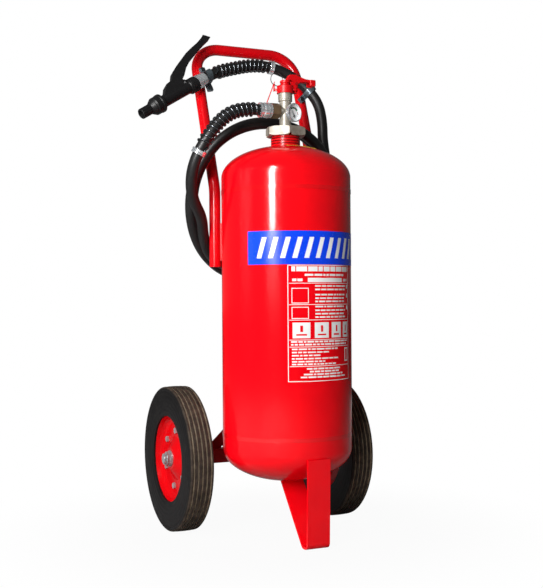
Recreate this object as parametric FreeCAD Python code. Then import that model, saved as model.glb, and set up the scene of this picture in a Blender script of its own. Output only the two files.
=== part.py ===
# Wheeled dry powder fire extinguisher: a welded cylinder on two solid tyres and a front foot,
# a tubular push handle, a valve with lever, safety pin and gauge, and a hose with a trigger nozzle.
# Millimetres. X runs to the viewer's right along the axle, -Y is the front, +Z is up.
# The model is built round the cylinder's axis on the floor, and moved at the end so that the
# origin lies in the middle of the footprint of everything but the hose and its fittings.
import FreeCAD, Part
import math
import os
from FreeCAD import Vector

os.makedirs("parts", exist_ok=True)

# Fits and clearances
seat_gap = 0.3          # between a welded or clamped piece and the curved face that carries it
run_gap = 0.05          # radial, a shaft that turns or slides in its bore
slide_gap = 0.35        # loose sliding pieces, such as the button in its cap
skin_gap = 0.05         # a printed film over the painted steel

# Cylinder
cyl_r = 150.0
wall = 2.5
seam_low_z = 241.0
seam_high_z = 798.0
flange_h = 33.0         # straight part of each pressed head
head_depth = 75.0
pole_r = 3.0            # the pressed heads are flat at the very middle
seam_bead_w = 9.0
seam_bead_t = 0.7

# Neck, union nut and valve
neck_r = 34.0
neck_bore_r = 22.0
neck_embed = 7.0        # the collar's foot passes through the top head
neck_top_z = 944.0
nut_low_z = 928.0
nut_h = 21.0
nut_corner_r = 48.8
nut_turn = 15.4
valve_flange_t = 2.0
body_r = 13.6
body_wide_r = 16.4
body_top_z = 1029.0
body_head_h = 18.0       # the wider head that the cap sits on
body_bore_r = 8.0
outlet_z = 987.0
outlet_bore_r = 6.0
outlet_boss_r = 12.5
outlet_boss_x = 17.5
hex_fitting_x = 38.0
hex_fitting_corner_r = 18.0
ferrule_x = 66.5
ferrule_r = 17.3
ferrule_neck_r = 15.6
dip_tube_r = 11.0
dip_tube_wall = 1.5
dip_tube_low_z = 152.0

# Cap, button, stem and lever
cap_r = 19.2
cap_top_z = 1047.0
button_r = 12.2
button_top_z = 1060.0
button_crown_h = 6.5
button_neck_r = 9.6
button_foot_z = 1031.0
stem_r = 3.5
stem_low_z = 968.0
poppet_r = 6.6
poppet_h = 5.0
stem_travel = 7.0
spring_wire_r = 0.6
spring_foot_z = 1014.5
spring_turns = 5
lever_pivot_x = 24.0
lever_pivot_z = 1052.0
lever_pin_r = 2.0
lever_w = 15.0
lever_ear_t = 4.0
lever_reach_x = 75.0
lever_bar_w = 24.0
safety_pin_angle = 147.3
safety_pin_z = 1038.5
safety_pin_r = 1.6
safety_pin_eye = 26.3
eye_rise = 12.0
ring_r = 15.2
ring_wire_r = 0.9
ring_lean = 28.0

# Pressure gauge
gauge_angle = -72.0
gauge_z = 981.0
gauge_r = 21.7
gauge_depth = 12.0
gauge_face = 33.0       # from the cylinder's axis to the bezel's front
gauge_stem_r = 6.0
pointer_drop = 7.5
pointer_len = 15.0
pointer_lean = 27.0     # from upright, towards the viewer's left

# Push handle
tube_r = 13.35
tube_wall = 2.6
handle_x = 136.0
handle_reach = 21.8167    # from the barrel's face to the legs' middle line
handle_y = math.sqrt((cyl_r + handle_reach) ** 2 - handle_x ** 2)
socket_low_z = 628.0
socket_top_z = 741.5
handle_bend_z = 811.0
handle_lean = 20.3
handle_top_z = 1176.0
handle_corner_r = 66.0
handle_bend_r = 90.0
spigot_h = 48.0
standoff_low_z = 643.0
standoff_top_z = 731.0
standoff_t = 6.0

# Wheels and axle
wheel_r = 172.0
wheel_w = 58.0
wheel_x = 207.0
axle_behind = 29.0      # from the barrel's back to the axle
axle_y = cyl_r + axle_behind
rim_r = 103.0
rim_sheet = 2.2
rim_edge_x = 21.0       # each edge of the rim, from the wheel's middle
rim_plane = 2.0         # the bolted face, outward of the wheel's middle
hub_r = 19.0
hub_half = 20.0
axle_r = 10.0
bolt_circle_r = 67.0
bolt_count = 6
bolt_turn = 36.0
groove_count = 5
groove_pitch = 10.4
groove_w = 4.4
groove_depth = 3.2
washer_t = 3.0
washer_r = 17.5
nut_t = 6.2
nut_crown = 5.5
nut_flat_r = 15.0
axle_end_x = 243.0
beam_h = 33.0
beam_wall = 3.0
spacer_l = 15.0         # inner washer, between the beam and a hub
beam_half = wheel_x - hub_half - spacer_l
gusset_t = 5.0
gusset_foot_x = 133.7
gusset_top_x = 45.0
gusset_top_z = 300.0
gusset_web_x = 60.0
notch_x = 90.0
notch_r = 5.0

# Front foot, one bent strap
foot_w = 55.0
foot_t = 5.0
foot_x = 3.5             # it isn't quite in the middle
foot_front_y = -149.0
foot_lean = 1.65         # degrees from upright, the top further forward
foot_top_z = 198.0
foot_bend_r = 14.0
foot_flat = 7.0
foot_back_slope = 50.3

# Hose, its spring guards and the wound turns
hose_r = 13.0
hose_run_gap = 0.25
guard_wire_r = 2.0
guard_pitch = 10.8
upper_guard_start = 26.0   # bare hose for the clip, before the guard begins
upper_guard_turns = 13
lower_guard_turns = 15
band_r = 17.2
band_w = 11.0
coil_z = 805.0
coil_reach = [172.0, 175.0, 162.0, 195.0, 196.0, 181.0, 170.0, 180.0, 150.0, 185.0]
coil_top_y = 61.0
coil_drop_y = 127.0     # how much further back the lowest turn lies
coil_drop_z = 322.0
coil_step_y = 31.0
coil_skew = 0.063       # the turns face a little to the left

# Trigger nozzle, along its own line from the hose end (s) and up from that line (h)
nozzle_x = -157.0
nozzle_v = 267.5
nozzle_slope = 32.8
nozzle_ferrule_len = 27.0
nozzle_tail_len = 27.0
nozzle_tail_r = 19.0
nozzle_body_r = 14.5
nozzle_body_end = 114.5
nozzle_bore_r = 7.5
collar_len = 24.5
collar_r = 22.5
cone_len = 13.0
tip_r = 12.6
tip_len = 25.6
tip_rib_count = 12
trigger_s = 34.0
trigger_h = 11.0
trigger_pin_r = 2.4
trigger_w = 20.0
needle_r = 3.0

# Clips that hold the hose to the handle
clip_w = 14.0
clip_len = 64.0
clip_t = 4.7            # the bar between the hose and the handle
strap_t = 2.4
right_clip_x = 149.8
right_clip_v = 272.0
right_clip_turn = math.radians(42)
left_clip_from_ferrule = 13.0
left_clip_turn = math.radians(104)
clip_bolt_r = 3.0

# Printed films
band_low_z = 627.0
band_top_z = 701.0
band_mid_angle = -88.0
band_half_angle = 61.9
info_low_z = 370.0
info_top_z = 626.0
info_mid_angle = -81.4
info_half_angle = 33.3
film_t = 0.3

wheel_z = wheel_r
hose_n = tube_r + seat_gap + clip_t + seat_gap + hose_r
nut_top_z = nut_low_z + nut_h
nodes = {}


def unit(v):
    return Vector(v).normalize()


def polar(radius, angle, z):
    a = math.radians(angle)
    return Vector(radius * math.cos(a), radius * math.sin(a), z)


def rod(a, b, radius):
    return Part.makeCylinder(radius, (b - a).Length, a, b - a)


def pipe(a, b, outer, inner):
    past = unit(b - a)
    return rod(a, b, outer).cut(rod(a - past, b + past, inner))


def block(x0, x1, y0, y1, z0, z1):
    return Part.makeBox(x1 - x0, y1 - y0, z1 - z0, Vector(x0, y0, z0))


def turned(profile, origin=Vector(0, 0, 0), axis=Vector(0, 0, 1)):
    """A closed (radius, along) outline turned about an axis through origin."""
    points = [Vector(r, 0, h) for r, h in profile]
    face = Part.Face(Part.makePolygon(points + points[:1]))
    solid = face.revolve(Vector(0, 0, 0), Vector(0, 0, 1), 360)
    solid.Placement = FreeCAD.Placement(origin, FreeCAD.Rotation(Vector(0, 0, 1), axis))
    return solid


def prism(points, depth):
    """A flat outline of points in one plane, pushed along depth."""
    return Part.Face(Part.makePolygon(points + points[:1])).extrude(depth)


def hexagon(a, b, corner_r, side_dir):
    """A hexagonal bar from a to b, with one corner towards side_dir."""
    along = unit(b - a)
    side = unit(side_dir - along * side_dir.dot(along))
    other = along.cross(side)
    points = []
    for i in range(6):
        t = math.radians(60 * i)
        points.append(a + side * (corner_r * math.cos(t)) + other * (corner_r * math.sin(t)))
    return prism(points, b - a)


def chamfered_hexagon(a, b, corner_r, side_dir):
    """A hexagon whose corners are turned off at both ends, as on a nut."""
    along = unit(b - a)
    length = (b - a).Length
    flat_r = corner_r * 0.9
    drop = (corner_r - flat_r) * 0.6
    cone = turned([(0, 0), (flat_r, 0), (corner_r, drop), (corner_r, length - drop),
                   (flat_r, length), (0, length)], a, along)
    return hexagon(a, b, corner_r, side_dir).common(cone)


def rounded_path(points):
    """Straight runs joined by tangent arcs: each arc as large as its two runs allow."""
    pieces = []
    radii = []
    start = points[0]
    for before, here, after in zip(points, points[1:], points[2:]):
        d1 = unit(here - before)
        d2 = unit(after - here)
        turn = d1.getAngle(d2)
        shorter = min((here - before).Length, (after - here).Length)
        tangent = 0.45 * shorter
        radius = tangent / math.tan(turn / 2)
        radii.append(radius)
        first = here - d1 * tangent
        axis = unit(d1.cross(d2))
        centre = first + axis.cross(d1) * radius
        pieces.append(("line", start, first))
        pieces.append(("arc", centre, first - centre, axis, turn))
        start = here + d2 * tangent
    pieces.append(("line", start, points[-1]))
    return pieces, radii


def turn_about(vector, axis, angle):
    return FreeCAD.Rotation(axis, math.degrees(angle)).multVec(vector)


def path_wire(pieces):
    edges = []
    for piece in pieces:
        if piece[0] == "line":
            edges.append(Part.LineSegment(piece[1], piece[2]).toShape())
        else:
            centre, arm, axis, turn = piece[1:]
            middle = centre + turn_about(arm, axis, turn / 2)
            end = centre + turn_about(arm, axis, turn)
            edges.append(Part.Arc(centre + arm, middle, end).toShape())
    return Part.Wire(edges)


def path_length(pieces):
    total = 0.0
    for piece in pieces:
        if piece[0] == "line":
            total += (piece[2] - piece[1]).Length
        else:
            total += piece[2].Length * piece[4]
    return total


def at_length(pieces, distance, side):
    """Point, direction and the side vector carried along without twist."""
    side = Vector(side)
    for index, piece in enumerate(pieces):
        last = index == len(pieces) - 1
        if piece[0] == "line":
            run = piece[2] - piece[1]
            if distance <= run.Length or last:
                way = unit(run)
                return piece[1] + way * distance, way, side
            distance -= run.Length
        else:
            centre, arm, axis, turn = piece[1:]
            swept = distance / arm.Length
            if swept <= turn:
                spoke = turn_about(arm, axis, swept)
                return centre + spoke, unit(axis.cross(spoke)), turn_about(side, axis, swept)
            side = turn_about(side, axis, turn)
            distance -= arm.Length * turn
    return None


def sweep_round(wire, start, way, radius):
    circle = Part.Wire(Part.Circle(start, way, radius).toShape())
    return wire.makePipeShell([circle], True, False)


def hose_tube(pieces):
    wire = path_wire(pieces)
    first = pieces[0]
    return sweep_round(wire, first[1], first[2] - first[1], hose_r)


def biarc(p0, t0, p1, t1):
    """Two tangent arcs from p0 along t0 to p1 along t1."""
    v = p1 - p0
    t = t0 + t1
    a = 2 * (1 - t0.dot(t1))
    b = 2 * v.dot(t)
    c = -v.dot(v)
    if abs(a) < 1e-9:
        d = -c / b
    else:
        d = (-b + math.sqrt(b * b - 4 * a * c)) / (2 * a)
    joint = (p0 + t0 * d + p1 - t1 * d) * 0.5
    return [arc_from(p0, t0, joint), arc_from(p1, t1 * -1, joint, True)]


def arc_from(start, tangent, end, backward=False):
    chord = end - start
    across = chord - tangent * chord.dot(tangent)
    if across.Length < 1e-7 * chord.Length:
        a, b = (end, start) if backward else (start, end)
        return Part.LineSegment(a, b).toShape()
    normal = unit(across)
    radius = chord.dot(chord) / (2 * chord.dot(normal))
    centre = start + normal * radius
    middle = centre + unit((start - centre) + (end - centre)) * radius
    if backward:
        return Part.Arc(end, middle, start).toShape()
    return Part.Arc(start, middle, end).toShape()


def biarc_wire(stations):
    edges = []
    for (p0, t0), (p1, t1) in zip(stations, stations[1:]):
        edges += biarc(p0, t0, p1, t1)
    return Part.Wire(edges)


def tightest(wire):
    return min(edge.Curve.Radius for edge in wire.Edges if hasattr(edge.Curve, "Radius"))


def least_gap(wire, spacing, skip, thickness):
    """Least clear distance of a wound tube to itself, between points further apart than skip."""
    count = int(wire.Length / spacing)
    points = wire.discretize(count)
    step = wire.Length / (count - 1)
    near = int(math.ceil(skip / step))
    best = 1e9
    for i in range(len(points)):
        for j in range(i + near, len(points)):
            best = min(best, (points[i] - points[j]).Length)
    return best - thickness


def guard_stations(pieces, first, turns, side, lead_in):
    """Quarter turn stations of a wire wound round a hose, ending straight along it."""
    radius = hose_r + hose_run_gap + guard_wire_r
    lift = 0.9
    straight = 2 * guard_wire_r
    bend = 7.0
    bend_angle = 34.0
    stations = []
    wound = guard_pitch * turns
    begin = first + straight + bend
    slope = guard_pitch / (2 * math.pi * radius)

    def station(distance, angle, reach, mix):
        point, way, across = at_length(pieces, distance, side)
        other = way.cross(across)
        a = math.radians(angle)
        spoke = across * math.cos(a) + other * math.sin(a)
        around = other * math.cos(a) - across * math.sin(a)
        return point + spoke * reach, unit(around * (1 - mix) + way * (slope + mix))

    def straight_on(distance, angle):
        here, way = station(distance, angle, radius + lift, 1.0)
        return here, at_length(pieces, distance, side)[1]

    stations.append(straight_on(first, -bend_angle + lead_in))
    stations.append(straight_on(first + straight, -bend_angle + lead_in))
    for quarter in range(4 * turns + 1):
        share = quarter / (4.0 * turns)
        stations.append(station(begin + wound * share, lead_in + 90.0 * quarter, radius, 0.0))
    last_angle = lead_in + 360.0 * turns + bend_angle
    stations.append(straight_on(begin + wound + bend, last_angle))
    stations.append(straight_on(begin + wound + bend + straight, last_angle))
    end = begin + wound + bend + straight
    return stations, end


def handle_point(x, v, n):
    """A place on the leaning handle: v up along its legs, n out of their plane to the front."""
    a = math.radians(handle_lean)
    y = handle_y + v * math.sin(a) - n * math.cos(a)
    z = handle_bend_z + v * math.cos(a) + n * math.sin(a)
    return Vector(x, y, z)


def handle_way(dx, dv, dn=0.0):
    return handle_point(dx, dv, dn) - handle_point(0, 0, 0)


def nozzle_point(s, h, n=0.0):
    a = math.radians(nozzle_slope)
    x = nozzle_x - s * math.cos(a) - h * math.sin(a)
    v = nozzle_v - s * math.sin(a) + h * math.cos(a)
    return handle_point(x, v, hose_n + n)


def nozzle_way(s, h, n=0.0):
    return nozzle_point(s, h, n) - nozzle_point(0, 0, 0)


def head_fill(sign, seam_z, radius, depth):
    """The solid inside a head: a straight flange from the seam, then half an ellipsoid."""
    centre = Vector(0, 0, flange_h)
    stop = math.acos(pole_r / radius)
    ellipse = Part.Ellipse(Vector(radius, 0, flange_h), Vector(0, 0, flange_h + depth), centre)
    arc = Part.ArcOfEllipse(ellipse, 0, stop)
    a = Vector(0, 0, 0)
    b = Vector(radius, 0, 0)
    c = Vector(radius, 0, flange_h)
    d = Vector(pole_r, 0, flange_h + depth * math.sin(stop))
    e = Vector(0, 0, d.z)
    edges = [Part.LineSegment(a, b).toShape(), Part.LineSegment(b, c).toShape(), arc.toShape(),
             Part.LineSegment(d, e).toShape(), Part.LineSegment(e, a).toShape()]
    solid = Part.Face(Part.Wire(edges)).revolve(a, Vector(0, 0, 1), 360)
    if sign < 0:
        solid = solid.mirror(a, Vector(0, 0, 1))
    solid.translate(Vector(0, 0, seam_z))
    return solid


def head(sign, seam_z):
    shell = head_fill(sign, seam_z, cyl_r, head_depth)
    return shell.cut(head_fill(sign, seam_z, cyl_r - wall, head_depth - wall))


def head_space(sign, seam_z, clearance):
    """A head grown by a clearance, for fitting pieces to it."""
    return head_fill(sign, seam_z, cyl_r + clearance, head_depth + clearance)


def head_height(sign, seam_z, radius, clearance=0.0):
    grown = cyl_r + clearance
    rise = (head_depth + clearance) * math.sqrt(max(0.0, 1 - (radius / grown) ** 2))
    return seam_z + sign * (flange_h + rise)


def make_cylinder():
    bottom = Vector(0, 0, seam_low_z)
    top = Vector(0, 0, seam_high_z)
    nodes["barrel"] = pipe(bottom, top, cyl_r, cyl_r - wall)
    neck_hole = rod(Vector(0, 0, seam_high_z), Vector(0, 0, nut_low_z), neck_r + seat_gap)
    nodes["top_dome"] = head(1, seam_high_z).cut(neck_hole)
    nodes["bottom_dome"] = head(-1, seam_low_z)
    beads = []
    for z in (seam_low_z, seam_high_z):
        low = Vector(0, 0, z - seam_bead_w / 2)
        high = Vector(0, 0, z + seam_bead_w / 2)
        beads.append(pipe(low, high, cyl_r + seam_bead_t, cyl_r + skin_gap))
    nodes["seam_beads"] = Part.makeCompound(beads)


def make_neck():
    foot_z = head_height(1, seam_high_z, neck_r) - neck_embed
    thread_low = nut_low_z + 2.0
    profile = [(neck_bore_r, foot_z), (neck_r, foot_z)]
    profile += [(neck_r, thread_low - 6.0), (neck_r - 1.6, thread_low - 5.0)]
    profile += [(neck_r - 1.6, thread_low - 3.0)]
    pitch = 2.4
    count = int((neck_top_z - thread_low) / pitch)
    for i in range(count):
        z = thread_low - 2.0 + pitch * i
        profile += [(neck_r, z + 0.5), (neck_r, z + 0.9), (neck_r - 1.0, z + 1.7), (neck_r - 1.0, z + 2.0)]
    profile += [(neck_r - 1.0, neck_top_z), (neck_bore_r, neck_top_z)]
    nodes["neck_collar"] = turned(profile)


def make_union_nut():
    low = Vector(0, 0, nut_low_z)
    top = Vector(0, 0, nut_top_z)
    corner = polar(1, nut_turn, 0)
    nut = chamfered_hexagon(low, top, nut_corner_r, corner)
    lip_z = neck_top_z + valve_flange_t + seat_gap
    nut = nut.cut(rod(low - Vector(0, 0, 1), Vector(0, 0, lip_z), neck_r + seat_gap))
    nut = nut.cut(rod(low, top + Vector(0, 0, 1), body_r + 2.0))
    notch = block(neck_r - 2, nut_corner_r, -3.5, 3.5, nut_low_z - 1, nut_low_z + 5.0)
    for i in range(3):
        slot = notch.copy()
        slot.rotate(Vector(0, 0, 0), Vector(0, 0, 1), nut_turn - 115.0 + 120 * i)
        nut = nut.cut(slot)
    nodes["union_nut"] = nut


def make_valve_body():
    spigot_z = neck_top_z - 24.0
    seat_z = stem_low_z + poppet_h
    body_wide_z = body_top_z - body_head_h
    profile = [(0, spigot_z), (neck_bore_r - 6.0, spigot_z), (neck_bore_r - 6.0, neck_top_z),
               (neck_r - 1.0, neck_top_z), (neck_r - 1.0, neck_top_z + valve_flange_t),
               (body_r, neck_top_z + valve_flange_t), (body_r, body_wide_z - 2.0),
               (body_wide_r, body_wide_z), (body_wide_r, body_wide_z + 2.0),
               (body_wide_r - 0.7, body_wide_z + 2.6),
               (body_wide_r - 0.7, body_wide_z + 4.0), (body_wide_r, body_wide_z + 4.6),
               (body_wide_r, body_top_z), (0, body_top_z)]
    body = turned(profile)
    port = Vector(0, 0, outlet_z)
    body = body.fuse(rod(port, Vector(-outlet_boss_x, 0, outlet_z), outlet_boss_r))
    facing = polar(1, gauge_angle, 0)
    gauge_centre = Vector(0, 0, gauge_z)
    gauge_back = gauge_face - gauge_depth
    body = body.fuse(rod(gauge_centre, gauge_centre + facing * (gauge_back - seat_gap), gauge_stem_r))
    body = body.cut(rod(Vector(0, 0, seat_z), Vector(0, 0, outlet_z + 9.0), body_bore_r - 2.5))
    body = body.cut(rod(Vector(0, 0, spigot_z - 1), Vector(0, 0, seat_z), body_bore_r))
    body = body.cut(rod(Vector(0, 0, outlet_z), Vector(0, 0, body_top_z + 1), stem_r + run_gap))
    body = body.cut(rod(port, Vector(-outlet_boss_x - 1, 0, outlet_z), outlet_bore_r - 1.0))
    body = body.cut(rod(Vector(0, 0, spring_foot_z), Vector(0, 0, body_top_z + 1), stem_r + 3.2))
    pocket_z = button_foot_z - stem_travel - 0.5
    pocket = rod(Vector(0, 0, pocket_z), Vector(0, 0, body_top_z + 1), button_neck_r + slide_gap)
    nodes["valve_body"] = body.cut(pocket)


def make_neck_seal():
    z = neck_top_z - 4.0
    middle = neck_bore_r - 3.0
    nodes["neck_seal"] = pipe(Vector(0, 0, z), Vector(0, 0, neck_top_z), neck_bore_r - seat_gap,
                              middle - 3.0 + seat_gap)


def make_dip_tube():
    top = Vector(0, 0, neck_top_z - 24.0)
    low = Vector(0, 0, dip_tube_low_z)
    tube = pipe(low, top, dip_tube_r, dip_tube_r - dip_tube_wall)
    slant = block(-30, 30, -30, 30, -20, 0)
    slant.rotate(Vector(0, 0, 0), Vector(0, 1, 0), 30)
    slant.translate(low)
    nodes["dip_tube"] = tube.cut(slant)


def pin_line(reach):
    return polar(reach, safety_pin_angle, safety_pin_z)


def make_cap():
    cap = turned([(0, body_top_z), (cap_r + 0.6, body_top_z), (cap_r, body_top_z + 3.0),
                  (cap_r, cap_top_z - 1.2), (cap_r - 1.2, cap_top_z), (0, cap_top_z)])
    # the two ears that carry the lever's pin
    for side in (-1, 1):
        y0 = side * (lever_w / 2 + slide_gap)
        y1 = side * (lever_w / 2 + slide_gap + lever_ear_t)
        ear = block(10.0, lever_pivot_x, min(y0, y1), max(y0, y1), cap_top_z - 12.0, lever_pivot_z + 4.0)
        pivot = Vector(lever_pivot_x, 0, lever_pivot_z)
        tip = rod(pivot + Vector(0, min(y0, y1), 0), pivot + Vector(0, max(y0, y1), 0), 4.0)
        cap = cap.fuse(ear).fuse(tip)
    room = rod(Vector(0, 0, body_top_z - 1), Vector(0, 0, lever_pivot_z + 10), button_r + slide_gap)
    cap = cap.cut(room)
    pin_hole = rod(pin_line(-cap_r - 3), pin_line(cap_r + 3), safety_pin_r + run_gap)
    cap = cap.cut(pin_hole)
    lever_hole = rod(Vector(lever_pivot_x, -20, lever_pivot_z), Vector(lever_pivot_x, 20, lever_pivot_z),
                     lever_pin_r + run_gap)
    nodes["valve_cap"] = cap.cut(lever_hole)


def make_lever_pin():
    end = lever_w / 2 + slide_gap + lever_ear_t
    a = Vector(lever_pivot_x, -end, lever_pivot_z)
    b = Vector(lever_pivot_x, end, lever_pivot_z)
    pin = rod(a, b, lever_pin_r)
    pin = pin.fuse(rod(a - Vector(0, 1.5, 0), a, lever_pin_r + 1.6))
    nodes["lever_pin"] = pin.fuse(rod(b, b + Vector(0, 1.5, 0), lever_pin_r + 1.6))


def make_button_and_stem():
    crown_z = button_top_z - button_crown_h
    groove = crown_z - 1.4
    profile = [(0, button_foot_z), (button_neck_r, button_foot_z), (button_neck_r, crown_z - 4.0),
               (button_r - 2.2, groove - 2.0), (button_r - 2.2, groove), (button_r, crown_z),
               (button_r, button_top_z - 2.2), (button_r - 2.0, button_top_z - 0.4),
               (button_r - 4.0, button_top_z), (0, button_top_z)]
    button = turned(profile)
    slot_top = safety_pin_z + safety_pin_r + stem_travel + 0.8
    slot = block(-button_r - 1, button_r + 1, -safety_pin_r - 0.4, safety_pin_r + 0.4,
                 safety_pin_z - safety_pin_r - 0.8, slot_top)
    slot.rotate(Vector(0, 0, 0), Vector(0, 0, 1), safety_pin_angle)
    nodes["push_button"] = button.cut(slot)
    poppet_top = stem_low_z + poppet_h
    seat_shift = seat_gap
    profile = [(0, stem_low_z - seat_shift), (poppet_r, stem_low_z - seat_shift),
               (poppet_r, poppet_top - seat_shift - 1.5), (stem_r + 1.0, poppet_top - seat_shift),
               (stem_r, poppet_top - seat_shift), (stem_r, button_foot_z), (0, button_foot_z)]
    nodes["valve_stem"] = turned(profile)


def make_valve_spring():
    coil_r = stem_r + 1.7
    low = spring_foot_z + spring_wire_r
    top = button_foot_z - seat_gap - spring_wire_r
    pitch = (top - low) / spring_turns
    stations = []
    slope = pitch / (2 * math.pi * coil_r)
    for quarter in range(4 * spring_turns + 1):
        a = math.radians(90.0 * quarter)
        here = Vector(coil_r * math.cos(a), coil_r * math.sin(a), low + pitch * quarter / 4.0)
        way = unit(Vector(-math.sin(a), math.cos(a), slope))
        stations.append((here, way))
    wire = biarc_wire(stations)
    nodes["valve_spring"] = sweep_round(wire, stations[0][0], stations[0][1], spring_wire_r)


def make_lever():
    half = lever_w / 2
    top = button_top_z + seat_gap
    inner = cap_r + slide_gap
    pivot = Vector(lever_pivot_x, 0, lever_pivot_z)
    outline = [(3.0, top), (10.5, top + 13.0), (26.0, top + 14.0), (30.0, top + 11.0), (50.0, top + 5.2),
               (64.0, top + 4.2), (64.0, top - 1.4), (50.0, top - 1.8), (36.0, top - 3.4), (30.0, top - 9.0),
               (28.0, body_top_z + 2.0), (inner, body_top_z + 2.0), (inner, top - 6.0), (button_r + 1.2, top)]
    arm = prism([Vector(x, -half, z) for x, z in outline], Vector(0, lever_w, 0))
    bar_half = lever_bar_w / 2
    bar = block(60.0, lever_reach_x, -bar_half, bar_half, top - 11.0, top + 4.6)
    lever = arm.fuse(bar.makeFillet(3.0, bar.Edges))
    lever = lever.cut(block(34.0, lever_reach_x - 3.5, 3.0 - half, half - 3.0, top - 20.0, top + 1.5))
    bore = rod(pivot - Vector(0, 20, 0), pivot + Vector(0, 20, 0), lever_pin_r + run_gap)
    nodes["valve_lever"] = lever.cut(bore)


def make_safety_pin():
    out = unit(polar(1, safety_pin_angle, 0))
    up = Vector(0, 0, 1)
    across = up.cross(out)
    half = 2.0
    stop = pin_line(cap_r + 0.6 + seat_gap)
    eye = pin_line(safety_pin_eye)
    hinge = eye + up * eye_rise
    lean = math.radians(ring_lean)
    ring_way = Vector(math.cos(lean), 0, -math.sin(lean))
    pin = rod(pin_line(-cap_r - 1.0), stop + out * 2, safety_pin_r)
    outline = [stop - up * 3.0, stop + up * 3.0, eye - out * 2.0 + up * 3.0, eye - out * 2.0 + up * eye_rise,
               eye + out * 2.0 + up * eye_rise, eye + out * 2.0 - up * 3.0]
    tab = prism([p - across * half for p in outline], across * (2 * half))
    lug = rod(hinge - ring_way * 1.8, hinge + ring_way * 1.8, 3.0)
    hole = rod(hinge - ring_way * 12, hinge + ring_way * 12, ring_wire_r + 0.5)
    nodes["safety_pin"] = pin.fuse(tab).fuse(lug).cut(hole)
    return hinge, ring_way


def make_pull_ring(hinge):
    lean = math.radians(ring_lean)
    centre = hinge + Vector(math.sin(lean), 0, math.cos(lean)) * ring_r
    nodes["pull_ring"] = Part.makeTorus(ring_r, ring_wire_r, centre, Vector(0, 1, 0))


def make_tamper_seal():
    """A thin strip from a band round the outlet up to beside the pull ring."""
    x = -(hex_fitting_x + 7.5)
    half = 1.0
    width = 2.2
    y = 3.0
    lean = 20.0
    top = outlet_z + ferrule_r + seat_gap
    band = pipe(Vector(x - half, 0, outlet_z), Vector(x + half, 0, outlet_z), ferrule_r + seat_gap + 0.6,
                ferrule_r + seat_gap)
    outline = [(x - half, top - 0.2), (x + half, top - 0.2), (x + lean + half, safety_pin_z + 17.0),
               (x + lean, safety_pin_z + 17.6)]
    strip = prism([Vector(px, y, pz) for px, pz in outline], Vector(0, width, 0))
    nodes["tamper_seal"] = band.fuse(strip)


def make_outlet():
    a = Vector(-outlet_boss_x, 0, outlet_z)
    b = Vector(-hex_fitting_x, 0, outlet_z)
    fitting = chamfered_hexagon(a, b, hex_fitting_corner_r, Vector(0, 0, 1))
    nodes["outlet_fitting"] = fitting.cut(rod(a + Vector(1, 0, 0), b - Vector(1, 0, 0), outlet_bore_r))
    length = ferrule_x - hex_fitting_x
    profile = [(outlet_bore_r, 0), (ferrule_r, 0), (ferrule_r, length * 0.62),
               (ferrule_neck_r, length * 0.68), (ferrule_neck_r, length * 0.78),
               (ferrule_r, length * 0.82), (ferrule_r, length),
               (outlet_bore_r, length)]
    nodes["outlet_ferrule"] = turned(profile, b, Vector(-1, 0, 0))


def make_gauge():
    facing = polar(1, gauge_angle, 0)
    centre = Vector(0, 0, gauge_z)
    front = centre + facing * gauge_face
    back = front - facing * gauge_depth
    shell_t = 1.2
    lip = 2.6
    dial_at = gauge_depth - 5.0
    profile = [(0, 0), (gauge_r - 3.5, 0), (gauge_r - 1.0, 2.5), (gauge_r - 1.0, gauge_depth - 4.0),
               (gauge_r, gauge_depth - 3.0), (gauge_r, gauge_depth - 0.8), (gauge_r - 0.8, gauge_depth),
               (gauge_r - lip, gauge_depth), (gauge_r - lip, gauge_depth - 1.2),
               (gauge_r - 1.0 - shell_t, gauge_depth - 1.2), (gauge_r - 1.0 - shell_t, 3.0), (0, 3.0)]
    nodes["gauge_case"] = turned(profile, back, facing)
    dial_r = gauge_r - 1.0 - shell_t - seat_gap
    hub = front + Vector(0, 0, -pointer_drop)
    dial = rod(back + facing * 3.0, back + facing * dial_at, dial_r)
    arbor_hole = rod(hub - facing * gauge_depth, hub, 1.0 + run_gap)
    nodes["gauge_dial"] = dial.cut(arbor_hole)
    lens = rod(front - facing * 2.6, front - facing * 1.2, dial_r)
    nodes["gauge_lens"] = lens
    side = Vector(0, 0, 1).cross(facing)
    a = math.radians(pointer_lean)
    way = Vector(0, 0, 1) * math.cos(a) - side * math.sin(a)
    across = facing.cross(way)
    plate_z = -(gauge_depth - dial_at) + 0.7
    base = hub + facing * plate_z
    outline = [base - way * 4.0 + across * 0.9, base - way * 4.0 - across * 0.9,
               base + way * pointer_len - across * 0.25, base + way * pointer_len + across * 0.25]
    needle = prism(outline, facing * 0.6)
    needle = needle.fuse(rod(base, base + facing * 0.9, 2.2))
    arbor = rod(base - facing * 2.4, base + facing * 0.3, 1.0)
    nodes["gauge_pointer"] = needle.fuse(arbor)
    return hub, facing


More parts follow.
